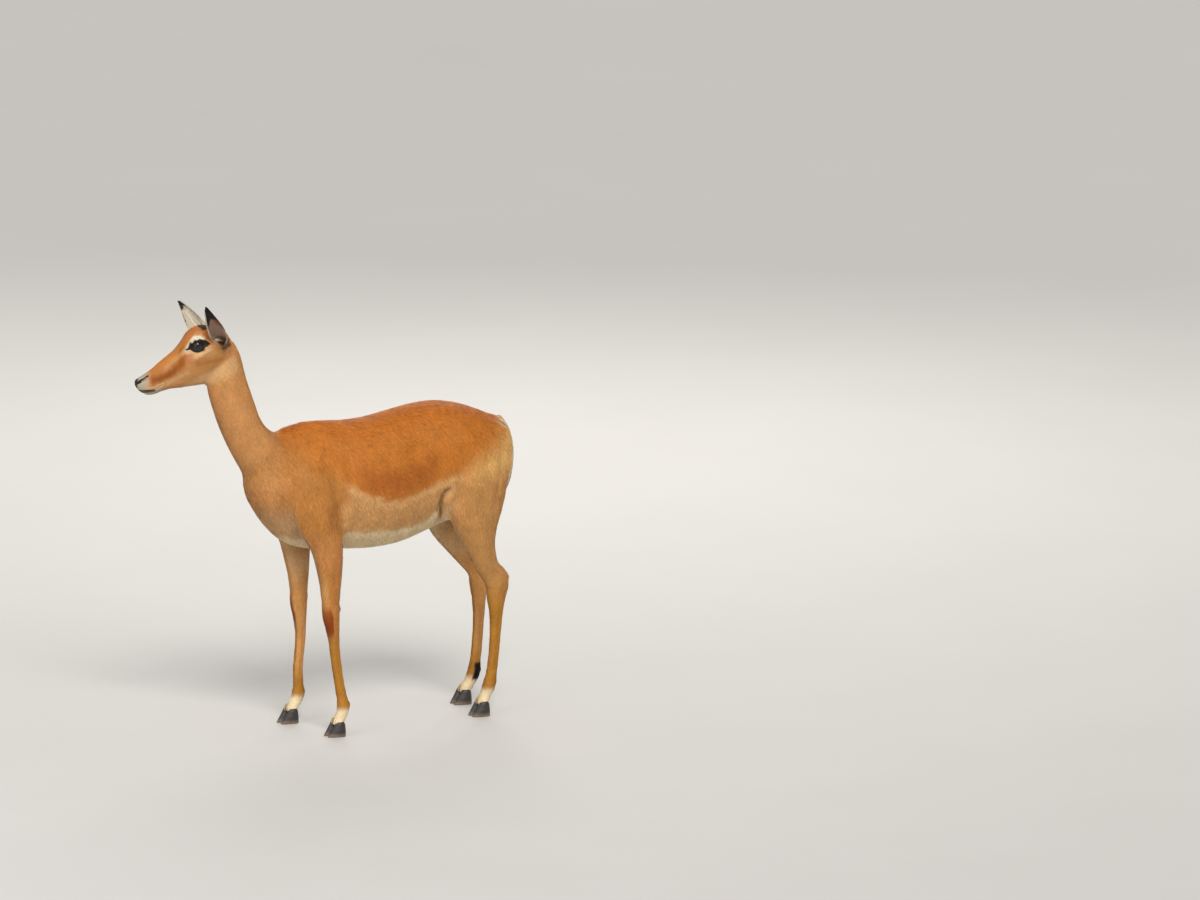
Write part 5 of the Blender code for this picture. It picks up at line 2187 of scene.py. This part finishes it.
@dataclass
class Eye:
    """An eye: a clear-fronted ball with a wide dark iris and a long level pupil.

    Attributes:
        side: which eye it is.
        bulge: how far the clear front stands out of the ball.
        front: half the angle that the clear front covers.
        iris: half the angle of the iris.
        pupil: half angles of the pupil, along and across.
        lashes: how many lashes the upper lid has.
    """

    side: Side
    bulge: float = 0.0011
    front: float = math.radians(44)
    iris: float = math.radians(48)
    pupil: tuple[float, float] = (math.radians(25), math.radians(11))
    lashes: int = 95

    def __post_init__(self) -> None:
        """Settles the eye's place and the way that it looks."""
        self.middle = HEAD.place((0, EYE_APART * self.side.value, 0))
        self.out = unit(HEAD.direction((0.12, self.side.value, 0.02)))
        self.ahead = unit(np.cross(HEAD.up, self.out) * self.side.value * -1)
        self.up = np.cross(self.out, self.ahead) * self.side.value
        self.up *= np.sign(self.up @ HEAD.up)

    def build(self) -> list[Object]:
        """Builds the ball and the lashes."""
        return [self.build_ball(), self.build_lashes()]

    def dress(self, wet: Material, hair: Material) -> None:
        """Builds the eye and puts its materials on.

        Args:
            wet: the ball's material.
            hair: the lashes'.
        """
        ball, lashes = self.build()
        settle(ball, wet, "eye", f"eye_{self.side.word}")
        settle(lashes, hair, "coat")

    def build_ball(self) -> Object:
        """Builds the ball, with its colours.

        Returns:
            The ball.
        """
        front, rest = np.linspace(0.006, self.iris * 1.15, 64), np.linspace(self.iris * 1.2, 3.08, 22)
        tilt = np.concatenate([front, rest])
        turns = np.linspace(0, 2 * math.pi, 96, endpoint=False)
        tilts, turn = pairs_of(tilt, turns)
        raised = self.bulge * np.clip(1 - (tilts / self.front) ** 2, 0, 1) ** 1.5
        radius = EYE_RADIUS - 0.0003 + raised
        along, across = np.sin(tilts) * np.cos(turn), np.sin(tilts) * np.sin(turn)
        way = np.outer(np.cos(tilts), self.out) + np.outer(along, self.ahead) + np.outer(across, self.up)
        made = tube(f"eye_ball_{self.side.word}", self.middle + way * radius[:, None], len(turns))
        MeshMaker.face_out(made)
        colours = np.tile(Tint.EYE_RIM.colour, (len(tilts), 1))
        streak = 0.5 + 0.5 * np.sin(turn * 34 + 2.0 * np.sin(turn * 7))
        iris = Tint.IRIS.colour * (0.75 + 0.4 * streak)[:, None]
        colours += (iris - colours) * ease(self.iris, self.iris * 0.9, tilts)[:, None]
        wide, high = self.pupil
        hole = np.abs(np.sin(tilts) * np.cos(turn) / math.sin(wide)) ** 2.6
        hole = hole + np.abs(np.sin(tilts) * np.sin(turn) / math.sin(high)) ** 2.6
        colours += (Tint.PUPIL.colour - colours) * ease(1.15, 0.85, hole)[:, None]
        MeshMaker.paint(made.data, "markings", colours)
        return made

    def build_lashes(self) -> Object:
        """Grows the lashes of the upper lid, longest over its middle.

        Returns:
            The lashes.
        """
        rng = np.random.default_rng(COAT_SEED + 70 + self.side.value)
        share = rng.uniform(-0.92, 0.94, self.lashes)
        along = EYE.middle + EYE.half * share
        across = EYE.over(EYE.half * share) + rng.uniform(-0.0002, 0.0009, self.lashes)
        tilt_cos, tilt_sin = math.cos(EYE.tilt), math.sin(EYE.tilt)
        ahead, up = along * tilt_cos - across * tilt_sin, across * tilt_cos + along * tilt_sin
        reach = EYE_RADIUS + 0.0017
        left = np.sqrt(np.clip(reach**2 - ahead**2 - up**2, 1e-6, None))
        local = np.column_stack([ahead, left, up])
        sign = (1, self.side.value, 1)
        roots = HEAD.place((local + (0, EYE_APART, 0)) * sign)
        out = HEAD.direction(unit(local) * sign)
        way = np.column_stack([0.45 + 0.5 * share, np.full(self.lashes, 0.75), np.full(self.lashes, -0.22)])
        way += rng.normal(0, 0.1, way.shape)
        lie = HEAD.direction(way * sign)
        length = (0.0088 - 0.004 * share**2) * rng.uniform(0.75, 1.15, self.lashes)
        raised = np.full(self.lashes, math.radians(24))
        hair = Hair(length, np.full(self.lashes, 0.00042), raised, raised * 0.2)
        colours = np.tile(Tint.BLACK.colour, (self.lashes, 1))
        chart = np.column_stack([share, across])
        return Barber().grow(f"lashes_{self.side.word}", roots, out, lie, hair, colours, chart, rng)


# Rows of a claw, from its sole up: height, reach to the toe, reach to the heel, half width
CLAW_ROWS = (
    (0.0, 0.0322, 0.018, 0.0114),
    (0.004, 0.032, 0.0184, 0.012),
    (0.017, 0.0228, 0.0182, 0.012),
    (0.0335, 0.012, 0.0165, 0.0102),
    (0.04, 0.008, 0.012, 0.0075),
)
# The rounded edge of the sole: height of each ring, and its size as a share of the claw's
SOLE_EDGE = ((0.0, 0.9), (0.0, 0.965), (0.0004, 0.985), (0.0012, 0.997))


@dataclass
class Hoof:
    """One claw of a hoof, with the rings of its growth.

    Attributes:
        node: the node that it replaces.
        toe_in: how far its toe is turned towards the other claw.
        ring_apart: how far apart the rings of its growth are.
        ring_high: how high a ring stands.
        fullness: how square its outline is at the toe and at the heel, 2 for a plain oval.
    """

    node: str
    toe_in: float = math.radians(4)
    ring_apart: float = 0.003
    ring_high: float = 0.00022
    fullness: tuple[float, float] = (1.6, 2.3)

    def build(self) -> Object:
        """Builds the claw.

        Returns:
            The claw.
        """
        _, end, word, claw = self.node.split("_")
        sign = (1 if word == "left" else -1) * (1 if claw == "outer" else -1)
        ahead = BODY.direction((math.cos(self.toe_in), -sign * math.sin(self.toe_in), 0))
        across = BODY.direction((sign * math.sin(self.toe_in), math.cos(self.toe_in), 0))
        rows = np.array(CLAW_ROWS)
        heights = np.concatenate([[height for height, _ in SOLE_EDGE], np.linspace(0.0022, 0.04, 46)])
        turn = np.linspace(0, 2 * math.pi, 56, endpoint=False)
        rings = []
        for k, height in enumerate(heights):
            toe, heel, half = (np.interp(height, rows[:, 0], rows[:, j]) for j in (1, 2, 3))
            sin, cos = np.sin(turn), np.cos(turn)
            power = np.where(sin >= 0, 2 / self.fullness[0], 2 / self.fullness[1])
            side = np.sign(cos) * np.abs(cos) ** power * half
            way = np.sign(sin) * np.abs(sin) ** power * np.where(sin >= 0, toe, heel)
            slope = np.where(sin >= 0, 0.1, 0.02) * np.abs(sin)
            wave = np.sin((height - slope * 0.02) / self.ring_apart * 2 * math.pi + math.sin(height * 400))
            shown = ease(0.003, 0.006, height) * ease(0.034, 0.028, height)
            growth = 1 + self.ring_high * wave / 0.012 * shown
            edge = SOLE_EDGE[k][1] if k < len(SOLE_EDGE) else 1.0
            rim = edge * growth
            sole = 0.0012 if k == 0 else 0.0
            rings.append(np.outer(side * rim, across) + np.outer(way * rim, ahead) + (0, 0, height + sole))
        points = np.concatenate(rings)
        low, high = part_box(self.node)
        middle = (points.max(0) + points.min(0)) / 2
        points[:, :2] += ((np.array(low) + np.array(high)) / 2 - middle)[:2]
        made = tube(f"claw_{end}_{word}_{claw}", points, len(turn))
        MeshMaker.face_out(made)
        return made

    def dress(self, horn: Material) -> None:
        """Builds the claw and puts its material on."""
        settle(self.build(), horn, "hoof", self.node)


@dataclass
class Nodes:
    """Places shader nodes and joins them.

    Attributes:
        tree: the node tree that they go in.
    """

    tree: bpy.types.NodeTree

    def add(self, kind: str, **values: object) -> bpy.types.Node:
        """Adds a node.

        Args:
            kind: its kind, in Blender's own words.
            values: its options by name.

        Returns:
            The node.
        """
        node = self.tree.nodes.new(kind)
        for name, value in values.items():
            setattr(node, name, value)
        return node

    def join(self, start: Socket, end: Socket) -> None:
        """Joins an output to an input."""
        self.tree.links.new(start, end)

    def put(self, node: bpy.types.Node, values: dict[str, float | Row]) -> None:
        """Sets a node's inputs by name."""
        for name, value in values.items():
            node.inputs[name].default_value = value

    def number(self, name: str) -> Socket:
        """The number that the mesh keeps under a name."""
        return self.add("ShaderNodeAttribute", attribute_name=name).outputs["Fac"]

    def colour(self, name: str) -> Socket:
        """The colour that the mesh keeps under a name."""
        return self.add("ShaderNodeAttribute", attribute_name=name).outputs["Color"]

    def noise(self, scale: float, detail: float = 3.0, stretch: Row = (1, 1, 1)) -> Socket:
        """Soft noise over the surface.

        Args:
            scale: how many humps there are in a metre.
            detail: how many finer layers it has.
            stretch: how close the humps are along each axis.

        Returns:
            Its value, from 0 to 1.
        """
        place = self.add("ShaderNodeTexCoord")
        size = self.add("ShaderNodeMapping")
        noise = self.add("ShaderNodeTexNoise")
        self.put(size, {"Scale": stretch})
        self.put(noise, {"Scale": scale, "Detail": detail})
        self.join(place.outputs["Object"], size.inputs["Vector"])
        self.join(size.outputs["Vector"], noise.inputs["Vector"])
        return noise.outputs["Fac"]

    def ranged(self, value: Socket, low: float, high: float, start: float = 0, end: float = 1) -> Socket:
        """Moves a value from one range to another.

        Args:
            value: the value.
            low: what it becomes at start.
            high: what it becomes at end.
            start: where it starts.
            end: where it ends.

        Returns:
            The moved value.
        """
        node = self.add("ShaderNodeMapRange")
        self.put(node, {"From Min": start, "From Max": end, "To Min": low, "To Max": high})
        self.join(value, node.inputs["Value"])
        return node.outputs["Result"]

    def combined(self, operation: str, one: Socket, other: Socket | float) -> Socket:
        """Puts two values together.

        Args:
            operation: one of those of Blender's Math node.
            one: the first value.
            other: the second.

        Returns:
            The result.
        """
        node = self.add("ShaderNodeMath", operation=operation)
        self.join(one, node.inputs[0])
        if isinstance(other, float):
            node.inputs[1].default_value = other
        else:
            self.join(other, node.inputs[1])
        return node.outputs[0]

    def mixed(self, kind: str, share: Socket, one: Socket | Row, other: Socket | Row) -> Socket:
        """Blends two numbers or colours.

        Args:
            kind: FLOAT or RGBA.
            share: how far the blend is, from the one to the other.
            one: the one.
            other: the other.

        Returns:
            The blend.
        """
        node = self.add("ShaderNodeMix", data_type=kind)
        self.join(share, node.inputs["Factor"])
        first = 2 if kind == "FLOAT" else 6
        for number, given in ((first, one), (first + 1, other)):
            if isinstance(given, Socket):
                self.join(given, node.inputs[number])
            else:
                node.inputs[number].default_value = (*given, 1)
        return node.outputs[0 if kind == "FLOAT" else 2]

    def bump(self, height: Socket, strength: float, distance: float, shader: bpy.types.Node) -> None:
        """Makes a shader's surface uneven by a height.

        Args:
            height: the height.
            strength: how strong the unevenness is.
            distance: how high it stands at most.
            shader: the shader.
        """
        node = self.add("ShaderNodeBump")
        self.put(node, {"Strength": strength, "Distance": distance})
        self.join(height, node.inputs["Height"])
        self.join(node.outputs["Normal"], shader.inputs["Normal"])

    def scaled(self, colour: Socket, value: Socket) -> Socket:
        """A colour made lighter or darker by a value.

        Args:
            colour: the colour.
            value: the value.

        Returns:
            The scaled colour.
        """
        node = self.add("ShaderNodeVectorMath", operation="SCALE")
        self.join(colour, node.inputs[0])
        self.join(value, node.inputs["Scale"])
        return node.outputs[0]


def started(name: str) -> tuple[Material, Nodes, bpy.types.Node]:
    """Starts a material.

    Args:
        name: its name.

    Returns:
        The material, its nodes and its shader.
    """
    material = bpy.data.materials.new(name)
    material.use_nodes = True
    nodes = Nodes(material.node_tree)
    shader = material.node_tree.nodes["Principled BSDF"]
    return material, nodes, shader


class SharedGroups:
    """The groups of nodes that the finishes share: an uneven colour, and the height of a fine surface."""

    def __init__(self) -> None:
        """Builds the groups once."""
        self.mottle = self.build_mottle()
        self.grain = self.build_grain()

    @staticmethod
    def group(
        name: str, inputs: Sequence[tuple[str, str, float]], outputs: Sequence[tuple[str, str]]
    ) -> Nodes:
        """A new group of nodes with named sockets.

        Args:
            name: its name.
            inputs: a name, a kind and a first value for each input.
            outputs: a name and a kind for each output.

        Returns:
            The empty group.
        """
        tree = bpy.data.node_groups.new(name, "ShaderNodeTree")
        for title, kind, value in inputs:
            socket = tree.interface.new_socket(title, in_out="INPUT", socket_type=kind)
            if kind == "NodeSocketFloat":
                socket.default_value = value
        for title, kind in outputs:
            tree.interface.new_socket(title, in_out="OUTPUT", socket_type=kind)
        return Nodes(tree)

    def build_mottle(self) -> bpy.types.NodeTree:
        """A group that makes a colour uneven: broad cloudy patches and fine flecks.

        Returns:
            The group.
        """
        inputs = (("Colour", "NodeSocketColor", 0.0), ("Amount", "NodeSocketFloat", 0.2))
        nodes = self.group("mottle", inputs, (("Colour", "NodeSocketColor"),))
        given, put = nodes.add("NodeGroupInput"), nodes.add("NodeGroupOutput")
        broad, flecks = nodes.noise(26.0, 4.0), nodes.noise(420.0, 2.0)
        less = nodes.combined("SUBTRACT", nodes.combined("ADD", broad, flecks), 1.0)
        plus = nodes.combined("ADD", nodes.combined("MULTIPLY", less, given.outputs["Amount"]), 1.0)
        nodes.join(nodes.scaled(given.outputs["Colour"], plus), put.inputs["Colour"])
        return nodes.tree

    def build_grain(self) -> bpy.types.NodeTree:
        """A group with the height of a fine surface: short strokes of hair, or pebbled leather.

        Returns:
            The group.
        """
        inputs = (("Leather", "NodeSocketFloat", 0.0),)
        nodes = self.group("grain", inputs, (("Height", "NodeSocketFloat"),))
        given, put = nodes.add("NodeGroupInput"), nodes.add("NodeGroupOutput")
        hair = nodes.noise(900.0, 3.0, (1.0, 1.0, 0.35))
        place = nodes.add("ShaderNodeTexCoord")
        cells = nodes.add("ShaderNodeTexVoronoi")
        nodes.put(cells, {"Scale": 1100.0})
        nodes.join(place.outputs["Object"], cells.inputs["Vector"])
        mix = nodes.mixed("FLOAT", given.outputs["Leather"], hair, cells.outputs["Distance"])
        nodes.join(mix, put.inputs["Height"])
        return nodes.tree

    def mottled(self, nodes: Nodes, colour: Socket, amount: float) -> Socket:
        """A colour through the mottle group.

        Args:
            nodes: the nodes of a material.
            colour: the colour.
            amount: how uneven it gets.

        Returns:
            The uneven colour.
        """
        node = nodes.add("ShaderNodeGroup", node_tree=self.mottle)
        nodes.put(node, {"Amount": amount})
        nodes.join(colour, node.inputs["Colour"])
        return node.outputs["Colour"]

    def grained(self, nodes: Nodes, leather: Socket) -> Socket:
        """The grain group's height.

        Args:
            nodes: the nodes of a material.
            leather: how far the surface is leather, and not hair.

        Returns:
            The height.
        """
        node = nodes.add("ShaderNodeGroup", node_tree=self.grain)
        nodes.join(leather, node.inputs["Leather"])
        return node.outputs["Height"]


@dataclass(frozen=True)
class HairFinish:
    """Hair of the coat: each tuft its own tone, darker at its root and paler at its tip.

    Attributes:
        groups: the groups that it shares.
        tones: how light the darkest and the palest tuft are.
        shades: how light a tuft's root and its tip are.
        mottle: how uneven its colour is.
        roughness: its roughness.
        gloss: its gloss.
        sheen: its sheen, and how rough that is.
    """

    groups: SharedGroups
    tones: tuple[float, float] = (0.78, 1.22)
    shades: tuple[float, float] = (0.8, 1.12)
    mottle: float = 0.14
    roughness: float = 0.58
    gloss: float = 0.14
    sheen: tuple[float, float] = (0.06, 0.45)

    def material(self) -> Material:
        """Builds the material.

        Returns:
            The material.
        """
        material, nodes, shader = started("hair")
        tone = nodes.ranged(nodes.number("tone"), *self.tones)
        height = nodes.ranged(nodes.number("height"), *self.shades)
        colour = nodes.scaled(nodes.colour("markings"), nodes.combined("MULTIPLY", tone, height))
        nodes.join(self.groups.mottled(nodes, colour, self.mottle), shader.inputs["Base Color"])
        nodes.put(shader, {"Roughness": self.roughness, "Specular IOR Level": self.gloss})
        nodes.put(shader, {"Sheen Weight": self.sheen[0], "Sheen Roughness": self.sheen[1]})
        return material


@dataclass(frozen=True)
class SkinFinish:
    """The skin: deep hair where the coat is, and dark damp leather where it is bare.

    Attributes:
        groups: the groups that it shares.
        shades: how light it is under the coat, and where it is bare.
        roughness: its roughness in the same two places.
        mottle: how uneven its colour is.
        grain: strength and height of its grain.
        gloss: its gloss.
    """

    groups: SharedGroups
    shades: tuple[float, float] = (0.8, 1.0)
    roughness: tuple[float, float] = (0.66, 0.46)
    mottle: float = 0.22
    grain: tuple[float, float] = (0.5, 0.0004)
    gloss: float = 0.25

    def material(self) -> Material:
        """Builds the material.

        Returns:
            The material.
        """
        material, nodes, shader = started("skin")
        bare = nodes.number("bare")
        under = nodes.scaled(nodes.colour("markings"), nodes.ranged(bare, *self.shades))
        nodes.join(self.groups.mottled(nodes, under, self.mottle), shader.inputs["Base Color"])
        nodes.join(nodes.ranged(bare, *self.roughness), shader.inputs["Roughness"])
        nodes.bump(self.groups.grained(nodes, bare), *self.grain, shader)
        nodes.put(shader, {"Specular IOR Level": self.gloss})
        return material


@dataclass(frozen=True)
class EyeFinish:
    """The eye: deep brown under a clear wet front.

    Attributes:
        groups: the groups that it shares.
        mottle: how uneven its colour is.
        roughness: its least and its greatest roughness.
        wet: how strong its clear front is, and how rough that is.
        gloss: its gloss.
    """

    groups: SharedGroups
    mottle: float = 0.5
    roughness: tuple[float, float] = (0.1, 0.2)
    wet: tuple[float, float] = (0.5, 0.02)
    gloss: float = 0.3

    def material(self) -> Material:
        """Builds the material.

        Returns:
            The material.
        """
        material, nodes, shader = started("eye_wet")
        colour = self.groups.mottled(nodes, nodes.colour("markings"), self.mottle)
        nodes.join(colour, shader.inputs["Base Color"])
        nodes.join(nodes.ranged(nodes.noise(300.0), *self.roughness), shader.inputs["Roughness"])
        nodes.put(shader, {"Coat Weight": self.wet[0], "Coat Roughness": self.wet[1]})
        nodes.put(shader, {"Specular IOR Level": self.gloss})
        return material


@dataclass(frozen=True)
class HornFinish:
    """Horn of the hooves: near black, worn and dusty towards the sole.

    Attributes:
        groups: the groups that it shares.
        worn: height above the floor up to which it is worn.
        dust: how dusty its cleanest and its dustiest streak are.
        roughness: roughness of the same two streaks.
        mottle: how uneven its colour is.
        grain: strength and height of its grain.
    """

    groups: SharedGroups
    worn: float = 0.012
    dust: tuple[float, float] = (0.3, 1.4)
    roughness: tuple[float, float] = (0.34, 0.62)
    mottle: float = 0.5
    grain: tuple[float, float] = (0.4, 0.0005)

    def material(self) -> Material:
        """Builds the material.

        Returns:
            The material.
        """
        material, nodes, shader = started("hoof_horn")
        place = nodes.add("ShaderNodeTexCoord")
        height = nodes.add("ShaderNodeSeparateXYZ")
        nodes.join(place.outputs["Object"], height.inputs[0])
        worn = nodes.ranged(height.outputs["Z"], 0, 1, self.worn, 0.0)
        streaks = nodes.noise(160.0, 5.0, (1.0, 1.0, 0.15))
        dust = nodes.combined("MULTIPLY", worn, nodes.ranged(streaks, *self.dust))
        horn = nodes.mixed("RGBA", dust, Tint.HORN.colour, Tint.HORN_DUST.colour)
        nodes.join(self.groups.mottled(nodes, horn, self.mottle), shader.inputs["Base Color"])
        nodes.join(nodes.ranged(streaks, *self.roughness), shader.inputs["Roughness"])
        nodes.bump(nodes.noise(900.0, 4.0, (1.0, 1.0, 0.12)), *self.grain, shader)
        return material


@dataclass
class Studio:
    """The floor, the light and the camera.

    Attributes:
        azimuth: the camera's angle round the animal, from her tail side towards her left.
        elevation: its angle above the level.
        distance: how far it is from the plane that its picture is measured in.
        lens: its focal length in millimetres.
        aside: how far to the right of the ground under her loins the middle of its picture is.
        raised: how far above that ground it is.
    """

    azimuth: float = math.radians(60)
    elevation: float = math.radians(12)
    distance: float = 70.75
    lens: float = 800.0
    aside: float = 0.527321
    raised: float = 0.710875

    def build(self) -> None:
        """Builds the floor, the lights and the camera."""
        self.build_floor()
        self.build_lights()
        self.build_camera()
        view = bpy.context.scene.view_settings
        view.view_transform = "Standard"
        view.look = "None"

    def build_floor(self) -> None:
        """A plain pale floor."""
        half = 120.0
        corners = np.array([(-half, -half, 0), (half, -half, 0), (half, half, 0), (-half, half, 0)])
        floor = MeshMaker.make("floor", corners, [np.array([[0, 1, 2, 3]])], smooth=False)
        material, nodes, shader = started("floor_plain")
        shade = nodes.mixed("RGBA", nodes.noise(2.0), (0.51, 0.50, 0.48), (0.54, 0.53, 0.51))
        nodes.join(shade, shader.inputs["Base Color"])
        nodes.put(shader, {"Roughness": 0.8})
        floor.data.materials.append(material)
        floor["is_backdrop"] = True

    @staticmethod
    def lamp(name: str, kind: str, place: Row, aim: Row, energy: float, colour: Row) -> bpy.types.Light:
        """Sets up a lamp.

        Args:
            name: its name.
            kind: its kind.
            place: where it is.
            aim: the point that it faces.
            energy: how strong it is.
            colour: the colour of its light.

        Returns:
            The light, on which its size is set.
        """
        data = bpy.data.lights.new(name, kind)
        data.energy = energy
        data.color = colour
        made = bpy.data.objects.new(name, data)
        made.location = place
        made.rotation_euler = (Vector(aim) - Vector(place)).to_track_quat("-Z", "Y").to_euler()
        bpy.context.scene.collection.objects.link(made)
        return data

    def build_lights(self) -> None:
        """A broad key from over the camera's left, a soft fill and a pale surround."""
        key = self.lamp("key", "SUN", (3.6, -1.0, 3.5), (0, 0, 0), 2.6, (1.0, 0.97, 0.93))
        key.angle = math.radians(24)
        fill = self.lamp("fill", "AREA", (1.4, -4.2, 2.2), (0, 0, 0.6), 55, (0.99, 0.99, 1.0))
        fill.size = 3.0
        back = self.lamp("back", "AREA", (-3.4, 2.6, 3.2), (0, 0, 0.7), 95, (1.0, 0.98, 0.95))
        back.size = 2.6
        world = bpy.data.worlds.new("studio")
        world.use_nodes = True
        ground = world.node_tree.nodes["Background"]
        ground.inputs["Color"].default_value = (0.9, 0.9, 0.89, 1)
        ground.inputs["Strength"].default_value = 0.55
        bpy.context.scene.world = world

    def build_camera(self) -> None:
        """The camera, level with no roll."""
        az, el = self.azimuth, self.elevation
        away = np.array([math.sin(az) * math.cos(el), -math.cos(az) * math.cos(el), math.sin(el)])
        right = np.array([math.cos(az), math.sin(az), 0.0])
        up = np.cross(away, right)
        middle = BODY.origin + right * self.aside + up * self.raised
        data = bpy.data.cameras.new("camera")
        data.lens = self.lens
        data.sensor_width = 36.0
        data.clip_end = 400.0
        camera = bpy.data.objects.new("camera", data)
        camera.location = middle + away * self.distance
        camera.rotation_euler = Vector(-away).to_track_quat("-Z", "Y").to_euler()
        bpy.context.scene.collection.objects.link(camera)
        bpy.context.scene.camera = camera


# the left ear's inside is painted in shade
LEFT_EAR = Ear(Side.LEFT, (0.057, 0.525, 0.85), (0.42, 0.8, -0.43), pale=0.0)
RIGHT_EAR = Ear(Side.RIGHT, (0.222, 0.73, 0.646), (0.52, -0.8, 0.1))


def main() -> None:
    """Builds the animal and its studio."""
    logging.basicConfig(level=logging.INFO, format="%(name)s %(message)s")
    groups = SharedGroups()
    finishes = (HairFinish, SkinFinish, EyeFinish, HornFinish)
    hair, leather, wet, horn = (finish(groups).material() for finish in finishes)

    skin = Skin()
    skin.build()
    markings = Markings(skin)
    skin.dress(markings, leather)
    Coat(skin, markings).dress(hair)
    for ear in (LEFT_EAR, RIGHT_EAR):
        ear.dress(leather, hair)
    Tail().dress(leather, hair)
    for side in Side:
        Eye(side).dress(wet, hair)
    for node in sorted(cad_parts):
        if node.startswith("hoof_"):
            Hoof(node).dress(horn)

    Studio().build()
    boxes = {"cad": CAD_BOX, "visual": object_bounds()}
    {name: [list(map(float, corner)) for corner in box] for name, box in boxes.items()}


if __name__ == "__main__":
    main()
